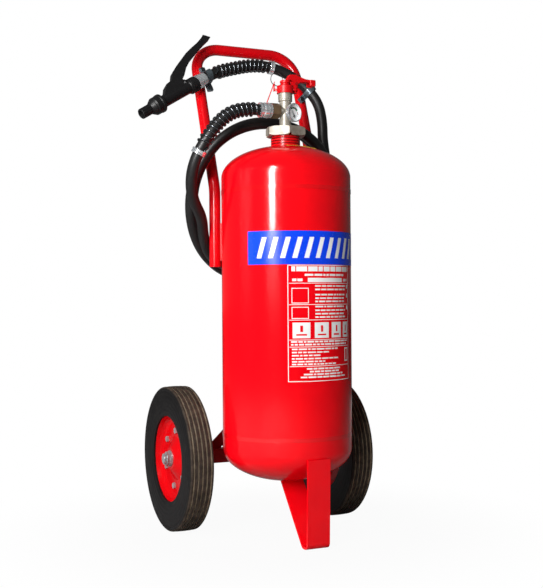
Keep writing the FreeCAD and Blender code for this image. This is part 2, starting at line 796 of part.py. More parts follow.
def handle_path():
    top_v = (handle_top_z - handle_bend_z) / math.cos(math.radians(handle_lean))
    left = [Vector(-handle_x, handle_y, socket_top_z), Vector(-handle_x, handle_y, handle_bend_z),
            handle_point(-handle_x, top_v, 0), handle_point(handle_x, top_v, 0),
            Vector(handle_x, handle_y, handle_bend_z), Vector(handle_x, handle_y, socket_top_z)]
    bends = [handle_bend_r, handle_corner_r, handle_corner_r, handle_bend_r]
    edges = []
    start = left[0]
    for before, here, after, radius in zip(left, left[1:], left[2:], bends):
        d1 = unit(here - before)
        d2 = unit(after - here)
        turn = d1.getAngle(d2)
        tangent = radius * math.tan(turn / 2)
        first = here - d1 * tangent
        last = here + d2 * tangent
        axis = unit(d1.cross(d2))
        centre = first + axis.cross(d1) * radius
        middle = centre + turn_about(first - centre, axis, turn / 2)
        edges.append(Part.LineSegment(start, first).toShape())
        edges.append(Part.Arc(first, middle, last).toShape())
        start = last
    edges.append(Part.LineSegment(start, left[-1]).toShape())
    return Part.Wire(edges)


def make_handle():
    start = Vector(-handle_x, handle_y, socket_top_z)
    up = Vector(0, 0, 1)
    outer = sweep_round(handle_path(), start, up, tube_r)
    inner = sweep_round(handle_path(), start, up, tube_r - tube_wall)
    nodes["handle_tube"] = outer.cut(inner)
    sockets = []
    strips = []
    for side in (-1, 1):
        foot = Vector(side * handle_x, handle_y, socket_low_z)
        top = Vector(side * handle_x, handle_y, socket_top_z)
        socket = rod(foot, top, tube_r).cut(rod(foot - up, top - up * spigot_h, tube_r - tube_wall))
        spigot = rod(top - up * 2, top + up * spigot_h, tube_r - tube_wall - 0.15)
        sockets.append(socket.fuse(spigot))
        reach = cyl_r + handle_reach
        out = Vector(side * handle_x / reach, handle_y / reach, 0)
        across = up.cross(out)
        strip = prism([out * (cyl_r - 4.0) + across * (standoff_t / 2) + up * standoff_low_z,
                       out * (reach - 5.0) + across * (standoff_t / 2) + up * standoff_low_z,
                       out * (reach - 5.0) - across * (standoff_t / 2) + up * standoff_low_z,
                       out * (cyl_r - 4.0) - across * (standoff_t / 2) + up * standoff_low_z],
                      up * (standoff_top_z - standoff_low_z))
        strip = strip.cut(rod(Vector(0, 0, socket_low_z), Vector(0, 0, socket_top_z), cyl_r + seat_gap))
        strips.append(strip.cut(rod(foot, top, tube_r + seat_gap)))
    nodes["handle_sockets"] = Part.makeCompound(sockets)
    nodes["socket_standoffs"] = Part.makeCompound(strips)


def tyre_profile():
    """Half section of the solid tyre as edges: bead, bulged side, round shoulder, grooved tread."""
    half = wheel_w / 2
    seat = rim_r + 0.2
    lip = seat - 1.5
    lip_x = rim_edge_x + seat_gap
    shoulder_x = half - 3.4
    edge_r = wheel_r - 1.2

    def at(x, r):
        return Vector(x, 0, r)

    edges = []
    left_bead = at(-half + 3.0, lip)
    left_low = at(-half + 1.2, seat + 9.0)
    left_high = at(-half + 0.6, edge_r - 10.0)
    left_shoulder = at(-shoulder_x, edge_r)
    edges.append(Part.LineSegment(left_bead, left_low).toShape())
    edges.append(Part.Arc(left_low, at(-half, (seat + edge_r) / 2 - 3), left_high).toShape())
    edges.append(Part.Arc(left_high, at(-half + 1.2, edge_r - 2.8), left_shoulder).toShape())
    points = [left_shoulder]
    for i in range(groove_count):
        x = groove_pitch * (i - (groove_count - 1) / 2.0)
        share = abs(x) / shoulder_x
        r = wheel_r - (wheel_r - edge_r) * share ** 2
        points += [at(x - groove_w / 2, r), at(x - groove_w / 2 + 0.5, r - groove_depth),
                   at(x + groove_w / 2 - 0.5, r - groove_depth), at(x + groove_w / 2, r)]
    points.append(at(shoulder_x, edge_r))
    for a, b in zip(points, points[1:]):
        edges.append(Part.LineSegment(a, b).toShape())
    right_high = at(half - 0.6, edge_r - 10.0)
    right_low = at(half - 1.2, seat + 9.0)
    right_bead = at(half - 3.0, lip)
    edges.append(Part.Arc(points[-1], at(half - 1.2, edge_r - 2.8), right_high).toShape())
    edges.append(Part.Arc(right_high, at(half, (seat + edge_r) / 2 - 3), right_low).toShape())
    edges.append(Part.LineSegment(right_low, right_bead).toShape())
    # the lips beside the rim's edges
    bed = [right_bead, at(lip_x, lip), at(lip_x, seat), at(-lip_x, seat), at(-lip_x, lip), left_bead]
    for a, b in zip(bed, bed[1:]):
        edges.append(Part.LineSegment(a, b).toShape())
    return Part.Face(Part.Wire(edges))


def rim_half(sign):
    """One pressed half of the rim: seat, curve down to the bolted face, cone out to the hub."""
    t = rim_sheet
    face_x = rim_plane
    edge_x = sign * rim_edge_x
    hub_x = sign * (hub_half - 2.0)
    near = face_x + sign * t
    outer = [(hub_x, hub_r + seat_gap), (hub_x, hub_r + 7.0), (near + sign * 1.5, hub_r + 30.0),
             (near, hub_r + 33.0), (near, rim_r - 18.0), (near + sign * 3.0, rim_r - 9.0),
             (near + sign * 8.0, rim_r - 3.5 - t + 0.6), (edge_x, rim_r - t)]
    back = [(edge_x, rim_r), (near + sign * 7.0, rim_r), (near + sign * 1.2, rim_r - 6.0),
            (face_x, rim_r - 12.0), (face_x, hub_r + 32.0), (face_x + sign * 0.6, hub_r + 30.5),
            (hub_x - sign * t, hub_r + 5.6), (hub_x - sign * t, hub_r + seat_gap)]
    return turned([(r, x) for x, r in outer + back], Vector(0, 0, 0), Vector(1, 0, 0))


def bolt_places():
    for i in range(bolt_count):
        a = math.radians(bolt_turn + 360.0 * i / bolt_count)
        yield Vector(0, bolt_circle_r * math.cos(a), bolt_circle_r * math.sin(a))


def make_wheel(name, side):
    """A wheel whose outer face looks along side * X."""
    profile = tyre_profile()
    tyre = profile.revolve(Vector(0, 0, 0), Vector(1, 0, 0), 360)
    outer = rim_half(1)
    inner = rim_half(-1)
    bolts = []
    for place in bolt_places():
        a = place + Vector(rim_plane - rim_sheet - 8.0, 0, 0)
        head_low = place + Vector(rim_plane + rim_sheet, 0, 0)
        hole = rod(place + Vector(rim_plane - 8, 0, 0), place + Vector(rim_plane + 8, 0, 0), 4.0 + seat_gap)
        outer = outer.cut(hole)
        inner = inner.cut(hole)
        bolt = rod(a, head_low + Vector(1, 0, 0), 4.0)
        bolt = bolt.fuse(hexagon(head_low, head_low + Vector(5.3, 0, 0), 7.5, place))
        nut_face = place + Vector(rim_plane - rim_sheet, 0, 0)
        bolt = bolt.fuse(hexagon(nut_face - Vector(6.0, 0, 0), nut_face, 7.5, place))
        bolts.append(bolt)
    hub = pipe(Vector(-hub_half, 0, 0), Vector(hub_half, 0, 0), hub_r, axle_r + run_gap)
    made = {"tyre": tyre, "rim": Part.makeCompound([outer, inner]), "hub": hub,
            "rim_bolts": Part.makeCompound(bolts)}
    for part, shape in made.items():
        if side < 0:
            shape = shape.mirror(Vector(0, 0, 0), Vector(1, 0, 0))
        shape.translate(Vector(side * wheel_x, axle_y, wheel_z))
        nodes[name + "_" + part] = shape


def make_axle():
    centre = Vector(0, axle_y, wheel_z)
    across = Vector(1, 0, 0)
    pin_r = 1.5
    pin_x = axle_end_x - 4.4
    axle = rod(centre - across * axle_end_x, centre + across * axle_end_x, axle_r)
    washers = []
    nuts = []
    pins = []
    for side in (-1, 1):
        out = across * side
        hub_end = centre + out * (wheel_x + hub_half)
        beam_end = centre + out * beam_half
        washers.append(pipe(hub_end + out * seat_gap, hub_end + out * (seat_gap + washer_t), washer_r,
                            axle_r + run_gap))
        washers.append(pipe(beam_end, beam_end + out * (spacer_l - seat_gap), washer_r - 3.0,
                            axle_r + run_gap))
        nut_start = hub_end + out * (seat_gap + washer_t)
        nut = hexagon(nut_start, nut_start + out * nut_t, nut_flat_r / math.cos(math.radians(30)),
                      Vector(0, 0, 1))
        nut = nut.fuse(rod(nut_start, nut_start + out * (nut_t + nut_crown), nut_flat_r - 2.0))
        nut = nut.cut(rod(nut_start - out, nut_start + out * 20, axle_r + run_gap))
        pin_at = centre + out * pin_x
        slot = block(-1.9, 8.0, -20, 20, -1.9, 1.9)
        for turn in (0, 60, 120):
            cut = slot.copy()
            if side < 0:
                cut = cut.mirror(Vector(0, 0, 0), Vector(1, 0, 0))
            cut.rotate(Vector(0, 0, 0), Vector(1, 0, 0), turn)
            cut.translate(pin_at)
            nut = nut.cut(cut)
        nuts.append(nut)
        along = Vector(0, 1, 0)
        axle = axle.cut(rod(pin_at - along * 20, pin_at + along * 20, pin_r + run_gap))
        pin = rod(pin_at - along * 15.5, pin_at + along * 17.0, pin_r)
        eye = Part.makeTorus(3.0, 1.2, pin_at - along * 18.0, across)
        pins.append(pin.fuse(eye))
    nodes["axle"] = axle
    nodes["axle_washers"] = Part.makeCompound(washers)
    nodes["axle_nuts"] = Part.makeCompound(nuts)
    nodes["cotter_pins"] = Part.makeCompound(pins)


def make_beam():
    h = beam_h / 2
    beam = block(-beam_half, beam_half, axle_y - h, axle_y + h, wheel_z - h, wheel_z + h)
    room = h - beam_wall
    plug = 8.0
    beam = beam.cut(block(-beam_half + plug, beam_half - plug, axle_y - room, axle_y + room,
                          wheel_z - room, wheel_z + room))
    centre = Vector(0, axle_y, wheel_z)
    span = Vector(beam_half + 1, 0, 0)
    nodes["axle_beam"] = beam.cut(rod(centre - span, centre + span, axle_r + run_gap))


def make_gusset():
    low = wheel_z + beam_h / 2
    shoulder_z = low + (gusset_foot_x - gusset_top_x) / 1.045
    y0 = axle_y
    web_start = cyl_r - 50.0
    outline = [Vector(-gusset_foot_x, y0, low), Vector(-gusset_top_x, y0, shoulder_z),
               Vector(-gusset_top_x, y0, gusset_top_z), Vector(gusset_top_x, y0, gusset_top_z),
               Vector(gusset_top_x, y0, shoulder_z), Vector(gusset_foot_x, y0, low)]
    plate = prism(outline, Vector(0, gusset_t, 0))
    for side in (-1, 1):
        notch_foot = Vector(side * notch_x, y0 - 1, low)
        plate = plate.cut(rod(notch_foot, notch_foot + Vector(0, gusset_t + 2, 0), notch_r))
        web_x = side * gusset_web_x
        web_top = low + (gusset_foot_x - gusset_web_x - gusset_t) / 1.045
        web = block(web_x - gusset_t / 2, web_x + gusset_t / 2, web_start, y0, low, web_top)
        plate = plate.fuse(web)
    top_web = block(-gusset_top_x, gusset_top_x, web_start, y0, gusset_top_z - gusset_t, gusset_top_z)
    plate = plate.fuse(top_web)
    keep_out = rod(Vector(0, 0, low - 10), Vector(0, 0, gusset_top_z + 10), cyl_r + seat_gap)
    bead_out = pipe(Vector(0, 0, seam_low_z - seam_bead_w / 2 - seat_gap),
                    Vector(0, 0, seam_low_z + seam_bead_w / 2 + seat_gap),
                    cyl_r + seam_bead_t + seat_gap, cyl_r)
    nodes["axle_gusset"] = plate.cut(keep_out).cut(bead_out).cut(head_space(-1, seam_low_z, seat_gap))


def make_foot():
    mid = foot_t / 2
    y = foot_front_y + mid
    r = foot_bend_r - mid
    slope = math.radians(foot_back_slope)
    lean = math.radians(foot_lean)
    half_way = (lean + math.pi / 2) / 2
    a = Vector(0, y + r - r * math.cos(lean), foot_bend_r - r * math.sin(lean))
    b = Vector(0, y + r - r * math.cos(half_way), foot_bend_r - r * math.sin(half_way))
    top_y = a.y - (foot_top_z - a.z) * math.tan(lean)
    down = Vector(0, top_y, foot_top_z)
    c = Vector(0, y + r, mid)
    d = c + Vector(0, foot_flat, 0)
    centre = d + Vector(0, 0, r)
    e = centre + Vector(0, r * math.sin(slope / 2), -r * math.cos(slope / 2))
    f = centre + Vector(0, r * math.sin(slope), -r * math.cos(slope))
    rise = (head_height(-1, seam_low_z, 0) + 30.0 - f.z) / math.sin(slope)
    g = f + Vector(0, rise * math.cos(slope), rise * math.sin(slope))
    path = Part.Wire([Part.LineSegment(down, a).toShape(), Part.Arc(a, b, c).toShape(),
                      Part.LineSegment(c, d).toShape(), Part.Arc(d, e, f).toShape(),
                      Part.LineSegment(f, g).toShape()])
    half = foot_w / 2
    out = Vector(0, mid * math.cos(lean), mid * math.sin(lean))
    corners = [down + Vector(x, 0, 0) + out * side
               for x, side in ((-half, -1), (half, -1), (half, 1), (-half, 1), (-half, -1))]
    strap = path.makePipeShell([Part.makePolygon(corners)], True, False)
    strap.translate(Vector(foot_x, 0, 0))
    strap = strap.cut(head_space(-1, seam_low_z, seat_gap))
    pieces = sorted(strap.Solids, key=lambda s: s.Volume)
    nodes["front_foot"] = pieces[-1]
    return Vector(foot_x, c.y + foot_flat / 2, 0)


def coil_station(quarter):
    """Place and direction of the wound hose at each quarter turn, starting at the bottom."""
    phase = math.radians(90.0 * (quarter + 1))
    reach = coil_reach[quarter]
    turn = (quarter + 1) / 4.0
    x = -reach * math.cos(phase)
    z = coil_z - reach * math.sin(phase)
    low = max(0.0, (coil_z + coil_reach[2] - z) / coil_drop_z)
    y = coil_top_y + coil_drop_y * low ** 1.5 + coil_step_y * (turn - 0.75) + coil_skew * x
    dz = -reach * math.cos(phase)
    dx = reach * math.sin(phase)
    dy = -1.5 * coil_drop_y * math.sqrt(low) * dz / coil_drop_z + coil_step_y / (2 * math.pi) + coil_skew * dx
    return Vector(x, y, z), unit(Vector(dx, dy, dz))


def make_hose():
    coil = [coil_station(q) for q in range(len(coil_reach))]
    lead = 2 * hose_r
    start = coil[0][0] - coil[0][1] * lead
    end = coil[-1][0] + coil[-1][1] * lead
    way = coil[0][1]
    end_way = coil[-1][1]
    coil_wire = biarc_wire([(start, way)] + coil + [(end, end_way)])
    nodes["hose_coil"] = sweep_round(coil_wire, start, way, hose_r)
    print("coil: tightest radius %.0f, length %.0f" % (tightest(coil_wire), coil_wire.Length))
    print("coil: least gap to itself %.2f" % least_gap(coil_wire, 6.0, 300.0, 2 * hose_r))
    outlet_route = [
        Vector(-ferrule_x, 0, outlet_z), Vector(-109, 0, outlet_z), Vector(-154, -1, 967),
        Vector(-196, -4, 918), Vector(-221, 9, 868), Vector(-225, 30, 822), Vector(-209, 57, 779),
        Vector(-176, 85, 742), Vector(-161, 118, 698), Vector(-133, 150, 657), start - way * 58.0, start]
    nozzle_route = [
        end, end + end_way * 41.0, Vector(179, 144, 911), Vector(176, 150, 953), Vector(178, 155, 997),
        handle_point(170, 235, hose_n - 1), handle_point(150, 272, hose_n), handle_point(119, 303, hose_n),
        handle_point(80, 324, hose_n), handle_point(39, 335, hose_n), handle_point(-6, 332, hose_n),
        handle_point(-49, 320, hose_n), nozzle_point(-nozzle_ferrule_len - 40.0, 0),
        nozzle_point(-nozzle_ferrule_len, 0)]
    runs = {"hose_outlet_run": outlet_route, "hose_nozzle_run": nozzle_route}
    paths = {}
    total = coil_wire.Length
    for name, route in runs.items():
        pieces, radii = rounded_path(route)
        paths[name] = pieces
        nodes[name] = hose_tube(pieces)
        length = path_length(pieces)
        total += length
        volume = nodes[name].Volume / (math.pi * hose_r ** 2 * length)
        print(name, "radii", [round(r) for r in radii], "length %.0f volume ratio %.4f" % (length, volume))
    print("hose length in all %.0f" % total)
    return paths


def make_guards(paths):
    lower = paths["hose_outlet_run"]
    side = Vector(0, 0, 1)
    stations, end = guard_stations(lower, 0.0, lower_guard_turns, side, 20.0)
    wire = biarc_wire(stations)
    nodes["outlet_spring_guard"] = sweep_round(wire, stations[0][0], stations[0][1], guard_wire_r)
    lower_band = guard_band(lower, end)
    gap = least_gap(wire, 1.6, 20.0, 2 * guard_wire_r)
    print("lower guard: tightest %.2f gap %.2f" % (tightest(wire), gap))
    upper = turned_round(paths["hose_nozzle_run"])
    side = unit(handle_way(0, 0, 1))
    stations, end = guard_stations(upper, upper_guard_start, upper_guard_turns, side, 200.0)
    wire = biarc_wire(stations)
    nodes["nozzle_spring_guard"] = sweep_round(wire, stations[0][0], stations[0][1], guard_wire_r)
    nodes["guard_bands"] = Part.makeCompound([lower_band, guard_band(upper, end)])
    gap = least_gap(wire, 1.6, 20.0, 2 * guard_wire_r)
    print("upper guard: tightest %.2f gap %.2f" % (tightest(wire), gap))


def turned_round(pieces):
    """The same path from its other end."""
    back = []
    for piece in reversed(pieces):
        if piece[0] == "line":
            back.append(("line", piece[2], piece[1]))
        else:
            centre, arm, axis, turn = piece[1:]
            back.append(("arc", centre, turn_about(arm, axis, turn), axis * -1, turn))
    return back


def guard_band(pieces, first):
    """A crimped band round the hose, where the guard's wire ends."""
    a = at_length(pieces, first + 0.2, Vector(0, 0, 1))[0]
    b = at_length(pieces, first + band_w, Vector(0, 0, 1))[0]
    along = unit(b - a)
    bow = 0.8
    return pipe(a, a + along * band_w, band_r, hose_r + hose_run_gap + bow * 0.5)


def make_nozzle():
    along = unit(nozzle_way(1, 0))
    front = unit(nozzle_way(0, 0, 1))
    body_start = nozzle_tail_len
    length = nozzle_ferrule_len
    profile = [(nozzle_bore_r, 0), (hose_r + 2.4, 0), (hose_r + 3.0, 2.0), (hose_r + 3.0, length * 0.52),
               (hose_r + 4.4, length * 0.56), (hose_r + 4.4, length), (nozzle_bore_r, length)]
    nodes["nozzle_ferrule"] = turned(profile, nozzle_point(-length, 0), along)
    ribs = 4
    rib = (nozzle_tail_len - 8.0) / ribs
    profile = [(nozzle_bore_r, 0), (nozzle_tail_r - 3.0, 0), (nozzle_tail_r - 1.0, 3.0)]
    for i in range(ribs):
        s = 4.0 + rib * i
        profile += [(nozzle_tail_r, s + 0.8), (nozzle_tail_r, s + rib - 1.6)]
        profile += [(nozzle_tail_r - 1.6, s + rib - 0.8)]
    profile += [(nozzle_tail_r - 2.0, nozzle_tail_len - 2.0), (nozzle_tail_r - 3.5, nozzle_tail_len),
                (nozzle_bore_r, nozzle_tail_len)]
    nodes["nozzle_tail_nut"] = turned(profile, nozzle_point(0, 0), along)
    body = rod(nozzle_point(body_start, 0), nozzle_point(nozzle_body_end, 0), nozzle_body_r)
    cheek = trigger_w / 2 + slide_gap
    cheek_t = 3.2
    upper = [(body_start, 0.0), (body_start, 14.0), (body_start + 3.0, 18.5), (trigger_s + 8.0, 19.5),
             (64.0, 31.5), (79.0, 29.5), (88.0, 20.5), (103.0, 8.0), (103.0, 0.0)]
    outer = cheek + cheek_t
    saddle = prism([nozzle_point(s, h, -outer) for s, h in upper], nozzle_way(0, 0, 2 * outer))
    room_outline = [(body_start - 1.0, trigger_h - 6.5), (60.0, trigger_h - 6.5), (74.0, 14.6), (74.0, 60.0),
                    (body_start - 1.0, 60.0)]
    room = prism([nozzle_point(s, h, -cheek) for s, h in room_outline], nozzle_way(0, 0, 2 * cheek))
    body = body.fuse(saddle).cut(room)
    body = body.cut(rod(nozzle_point(body_start - 1, -8.0), nozzle_point(80.0, -8.0), 3.5))
    body = body.cut(rod(nozzle_point(74.0, 0), nozzle_point(nozzle_body_end + 1, 0), nozzle_bore_r))
    body = body.cut(rod(nozzle_point(52.0, 0), nozzle_point(75.0, 0), needle_r + run_gap))
    pin_half = outer + 0.8
    hole = rod(nozzle_point(trigger_s, trigger_h, -20), nozzle_point(trigger_s, trigger_h, 20),
               trigger_pin_r + run_gap)
    nodes["nozzle_body"] = body.cut(hole)
    nodes["trigger_pin"] = rod(nozzle_point(trigger_s, trigger_h, -pin_half),
                               nozzle_point(trigger_s, trigger_h, pin_half), trigger_pin_r)
    collar_start = nozzle_body_end
    cone_start = collar_start + collar_len
    profile = [(nozzle_bore_r, 0), (collar_r - 1.5, 0), (collar_r, 1.5), (collar_r, 7.0),
               (collar_r - 1.2, 8.5), (collar_r - 1.2, collar_len - 3.0), (collar_r - 3.2, collar_len),
               (nozzle_bore_r, collar_len)]
    nodes["nozzle_collar"] = turned(profile, nozzle_point(collar_start, 0), along)
    tip_end = cone_len + tip_len
    profile = [(nozzle_bore_r, 0), (collar_r - 3.6, 0), (collar_r - 4.2, 2.0), (tip_r, cone_len - 2.0),
               (tip_r, tip_end - 1.0), (tip_r - 1.0, tip_end), (nozzle_bore_r + 1.0, tip_end),
               (nozzle_bore_r - 2.0, cone_len), (nozzle_bore_r, cone_len * 0.4)]
    tip = turned(profile, nozzle_point(cone_start, 0), along)
    for i in range(tip_rib_count):
        spoke = turn_about(front, along, 2 * math.pi * i / tip_rib_count)
        a = nozzle_point(cone_start + cone_len, 0) + spoke * (tip_r + 0.5)
        tip = tip.cut(rod(a, a + along * (tip_len + 2), 1.5))
    nodes["nozzle_tip"] = tip
    return along, front


def make_trigger():
    half = trigger_w / 2
    outline = [(56.6, 33.0), (40.0, 49.5), (21.4, 57.8), (-24.0, 74.6), (-46.0, 79.8), (-70.7, 84.5),
               (-90.0, 90.5),
               (-99.6, 95.1), (-113.6, 80.9), (-91.6, 76.0), (-61.6, 67.6), (-25.4, 55.7), (2.0, 42.0),
               (19.5, 28.4), (30.2, 22.4), (28.4, 14.0), (28.4, 8.5), (31.0, 5.6), (36.5, 5.3), (40.0, 9.0),
               (54.0, 25.0)]
    lever = prism([nozzle_point(s, h, -half) for s, h in outline], nozzle_way(0, 0, 2 * half))
    # open underneath, as a channel
    hollow = [(30.0, 30.0), (22.0, 44.0), (-24.0, 62.0), (-60.0, 73.0), (-60.0, 60.0),
              (-20.0, 40.0), (20.0, 20.0)]
    inner = half - 3.5
    lever = lever.cut(prism([nozzle_point(s, h, -inner) for s, h in hollow], nozzle_way(0, 0, 2 * inner)))
    hole = rod(nozzle_point(trigger_s, trigger_h, -half - 1), nozzle_point(trigger_s, trigger_h, half + 1),
               trigger_pin_r + run_gap)
    nodes["nozzle_trigger"] = lever.cut(hole)
    needle = rod(nozzle_point(62.0, 0), nozzle_point(92.0, 0), needle_r)
    needle = needle.fuse(rod(nozzle_point(88.0, 0), nozzle_point(96.0, 0), nozzle_bore_r - 1.0))
    nodes["nozzle_needle"] = needle


def clip(centre, hose_way, strap_way):
    """A strap over the hose, a bar behind it and two bolts, all square to the handle's plane."""
    front = unit(handle_way(0, 0, 1))
    along = unit(hose_way - front * hose_way.dot(front))
    across = front.cross(along)
    long_way = unit(strap_way)
    short_way = front.cross(long_way)
    inner = hose_r + seat_gap
    outer = inner + strap_t
    half = clip_len / 2

    def tile(u, v, du, dv, low, high):
        corners = [centre + u * (a * du) + v * (b * dv) + front * low
                   for a, b in ((-1, -1), (1, -1), (1, 1), (-1, 1))]
        return prism(corners, front * (high - low))

    strip = tile(long_way, short_way, half, clip_w / 2, -60, 60)
    hump = rod(centre - along * 60, centre + along * 60, outer)
    hump = hump.common(tile(along, across, 61, 61, -inner, 60))
    hump = hump.fuse(tile(along, across, 60, outer, -inner, 0))
    hump = hump.fuse(tile(along, across, 60, 60, -inner, strap_t - inner))
    hump = hump.cut(rod(centre - along * 61, centre + along * 61, inner))
    hump = hump.cut(tile(along, across, 61, inner, -inner - 1, 0))
    strap = hump.common(strip)
    bar = tile(long_way, short_way, half, clip_w / 2, -inner - clip_t, -inner)
    bolts = []
    for sign in (-1, 1):
        at = centre + long_way * (sign * (half - 6.5)) - front * inner
        hole = rod(at - front * 20, at + front * 20, clip_bolt_r + 0.15)
        strap = strap.cut(hole)
        bar = bar.cut(hole)
        top = at + front * strap_t
        low = at - front * clip_t
        shank = rod(low + front * seat_gap, top, clip_bolt_r)
        bolts.append(shank.fuse(hexagon(top, top + front * 4.2, 5.8, long_way)))
    return strap, bar, bolts


def nearest_on(pieces, target):
    """Where a hose route passes closest to a place, and which way it runs there."""
    steps = range(int(path_length(pieces)))
    near = min(steps, key=lambda d: (at_length(pieces, d, Vector(0, 0, 1))[0] - target).Length)
    return at_length(pieces, near, Vector(0, 0, 1))[:2]


def make_clips(paths):
    route = paths["hose_nozzle_run"]
    right, right_way = nearest_on(route, handle_point(right_clip_x, right_clip_v, hose_n))
    left, left_way = nearest_on(route, nozzle_point(-nozzle_ferrule_len - left_clip_from_ferrule, 0))
    right_long = handle_way(math.cos(right_clip_turn), math.sin(right_clip_turn))
    left_long = handle_way(math.cos(left_clip_turn), math.sin(left_clip_turn))
    strap_r, bar_r, bolts_r = clip(right, right_way, right_long)
    strap_l, bar_l, bolts_l = clip(left, left_way, left_long)
    nodes["hose_clips"] = Part.makeCompound([strap_r, strap_l])
    nodes["clip_bars"] = Part.makeCompound([bar_r, bar_l])
    nodes["clip_bolts"] = Part.makeCompound(bolts_r + bolts_l)


def film(low_z, top_z, mid_angle, half_angle):
    inner = cyl_r + skin_gap
    ring = pipe(Vector(0, 0, low_z), Vector(0, 0, top_z), inner + film_t, inner)
    reach = cyl_r * 3
    corners = [Vector(0, 0, low_z)]
    for step in (-1.0, -0.5, 0.0, 0.5, 1.0):
        corners.append(polar(reach, mid_angle + half_angle * step, low_z))
    wedge = prism(corners, Vector(0, 0, top_z - low_z))
    return ring.common(wedge)


def make_films():
    band = film(band_low_z, band_top_z, band_mid_angle, band_half_angle)
    info = film(info_low_z, info_top_z, info_mid_angle, info_half_angle)
    nodes["printed_films"] = Part.makeCompound([band, info])


def report_place(name, point, shift):
    p = point + shift
    print("place", name, "%.3f %.3f %.3f" % (p.x, p.y, p.z))


def report_way(name, way):
    w = unit(way)
    print("way", name, "%.6f %.6f %.6f" % (w.x, w.y, w.z))


make_cylinder()
make_neck()
make_union_nut()
make_valve_body()
make_neck_seal()
make_dip_tube()
make_cap()
make_lever_pin()
make_button_and_stem()
make_valve_spring()
make_lever()
ring_hinge, ring_axis = make_safety_pin()
make_pull_ring(ring_hinge)
make_tamper_seal()
make_outlet()
pointer_hub, gauge_facing = make_gauge()
make_handle()
make_wheel("left", -1)
make_wheel("right", 1)
make_axle()
make_beam()
make_gusset()
foot_rest = make_foot()
hose_paths = make_hose()
make_guards(hose_paths)
make_nozzle()
make_trigger()
make_clips(hose_paths)
make_films()

front_y = nodes["front_foot"].BoundBox.YMin
back_y = axle_y + wheel_r
shift = Vector(0, -(front_y + back_y) / 2, 0)
for name, shape in nodes.items():
    moved = shape.copy()
    moved.translate(shift)
    moved.exportStep("parts/" + name + ".step")

report_place("cylinder_axis", Vector(0, 0, 0), shift)
report_place("left_wheel", Vector(-wheel_x, axle_y, wheel_z), shift)
report_place("right_wheel", Vector(wheel_x, axle_y, wheel_z), shift)
report_place("lever_pivot", Vector(lever_pivot_x, 0, lever_pivot_z), shift)
report_place("ring_hinge", ring_hinge, shift)
report_place("pointer_hub", pointer_hub, shift)
report_place("trigger_pivot", nozzle_point(trigger_s, trigger_h), shift)
report_place("foot_rest", foot_rest, shift)
report_way("safety_pin", polar(1, safety_pin_angle, 0))
report_way("ring", ring_axis)
report_way("gauge", gauge_facing)
report_way("nozzle", nozzle_way(1, 0))
report_way("nozzle_front", nozzle_way(0, 0, 1))
print(len(nodes), "nodes")
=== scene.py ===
# %% [markdown]
# # A wheeled powder extinguisher, dressed round its CAD frame
# The imported model already holds every rigid form at its real size. Blender adds what the eye looks for
# next: the hose as one smooth line, the sprung wire round it, the printing on the cylinder and a finish for
# each surface. Loading comes first.

# %% Load the imported frame
import math
import random

import bpy
from mathutils import Matrix, Vector


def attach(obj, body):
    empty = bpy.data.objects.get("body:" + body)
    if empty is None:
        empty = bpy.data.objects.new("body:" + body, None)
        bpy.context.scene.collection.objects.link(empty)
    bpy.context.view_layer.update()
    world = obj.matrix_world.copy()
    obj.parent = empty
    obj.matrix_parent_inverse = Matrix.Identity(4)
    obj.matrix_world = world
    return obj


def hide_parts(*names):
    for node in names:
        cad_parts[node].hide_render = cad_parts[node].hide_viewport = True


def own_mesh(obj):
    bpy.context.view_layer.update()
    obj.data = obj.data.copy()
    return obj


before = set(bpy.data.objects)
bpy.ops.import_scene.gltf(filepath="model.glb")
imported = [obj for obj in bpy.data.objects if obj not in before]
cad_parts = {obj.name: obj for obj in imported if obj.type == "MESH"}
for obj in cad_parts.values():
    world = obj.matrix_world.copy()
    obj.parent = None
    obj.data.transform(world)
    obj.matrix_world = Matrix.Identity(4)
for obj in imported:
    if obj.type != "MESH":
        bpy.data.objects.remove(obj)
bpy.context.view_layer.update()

# %% [markdown]
# The drawing office works in millimetres from the cylinder's axis on the floor. The row frame is in
# metres, and its origin lies a little further back, so every place below goes through one function.
# The handle leans back, and the nozzle lies in a plane parallel to it, so both get a function too.

# %% Places on the object
AXIS_BACK = 98.348
CYLINDER_R = 150.0
HOSE_R = 13.0


def at(x, y, z):
    """A place measured from the cylinder's axis on the floor, in millimetres, as a point of the frame."""
    return Vector((x, y - AXIS_BACK, z)) / 1000


HANDLE_LEAN = math.radians(20.3)
HANDLE_FOOT = (105.0, 811.0)      # where the leaning part starts: back and up
HOSE_STANDS_OFF = 31.65           # the hose's middle, out of the handle's plane
NOZZLE_SLOPE = math.radians(32.8)


def on_handle(x, along, out):
    """On the leaning handle: along its legs, and out of their plane to the front."""
    back = HANDLE_FOOT[0] + along * math.sin(HANDLE_LEAN) - out * math.cos(HANDLE_LEAN)
    up = HANDLE_FOOT[1] + along * math.cos(HANDLE_LEAN) + out * math.sin(HANDLE_LEAN)
    return at(x, back, up)


def on_nozzle(forward, rise, out=0.0):
    """On the nozzle: forward from the hose's end, rise off its line, and out to the front."""
    x = -157.0 - forward * math.cos(NOZZLE_SLOPE) - rise * math.sin(NOZZLE_SLOPE)
    along = 267.5 - forward * math.sin(NOZZLE_SLOPE) + rise * math.cos(NOZZLE_SLOPE)
    return on_handle(x, along, HOSE_STANDS_OFF + out)


print("nozzle end at", [round(v, 3) for v in on_nozzle(0, 0)])

# %% [markdown]
# The camera stands where the photographer stood, a little left of the cylinder's front and just
# above its middle. Its place and direction were worked out from the wheels, the seams and the edges
# of the cylinder, so it needs no shift. A long side of 588 pixels fits the 36 mm sensor.

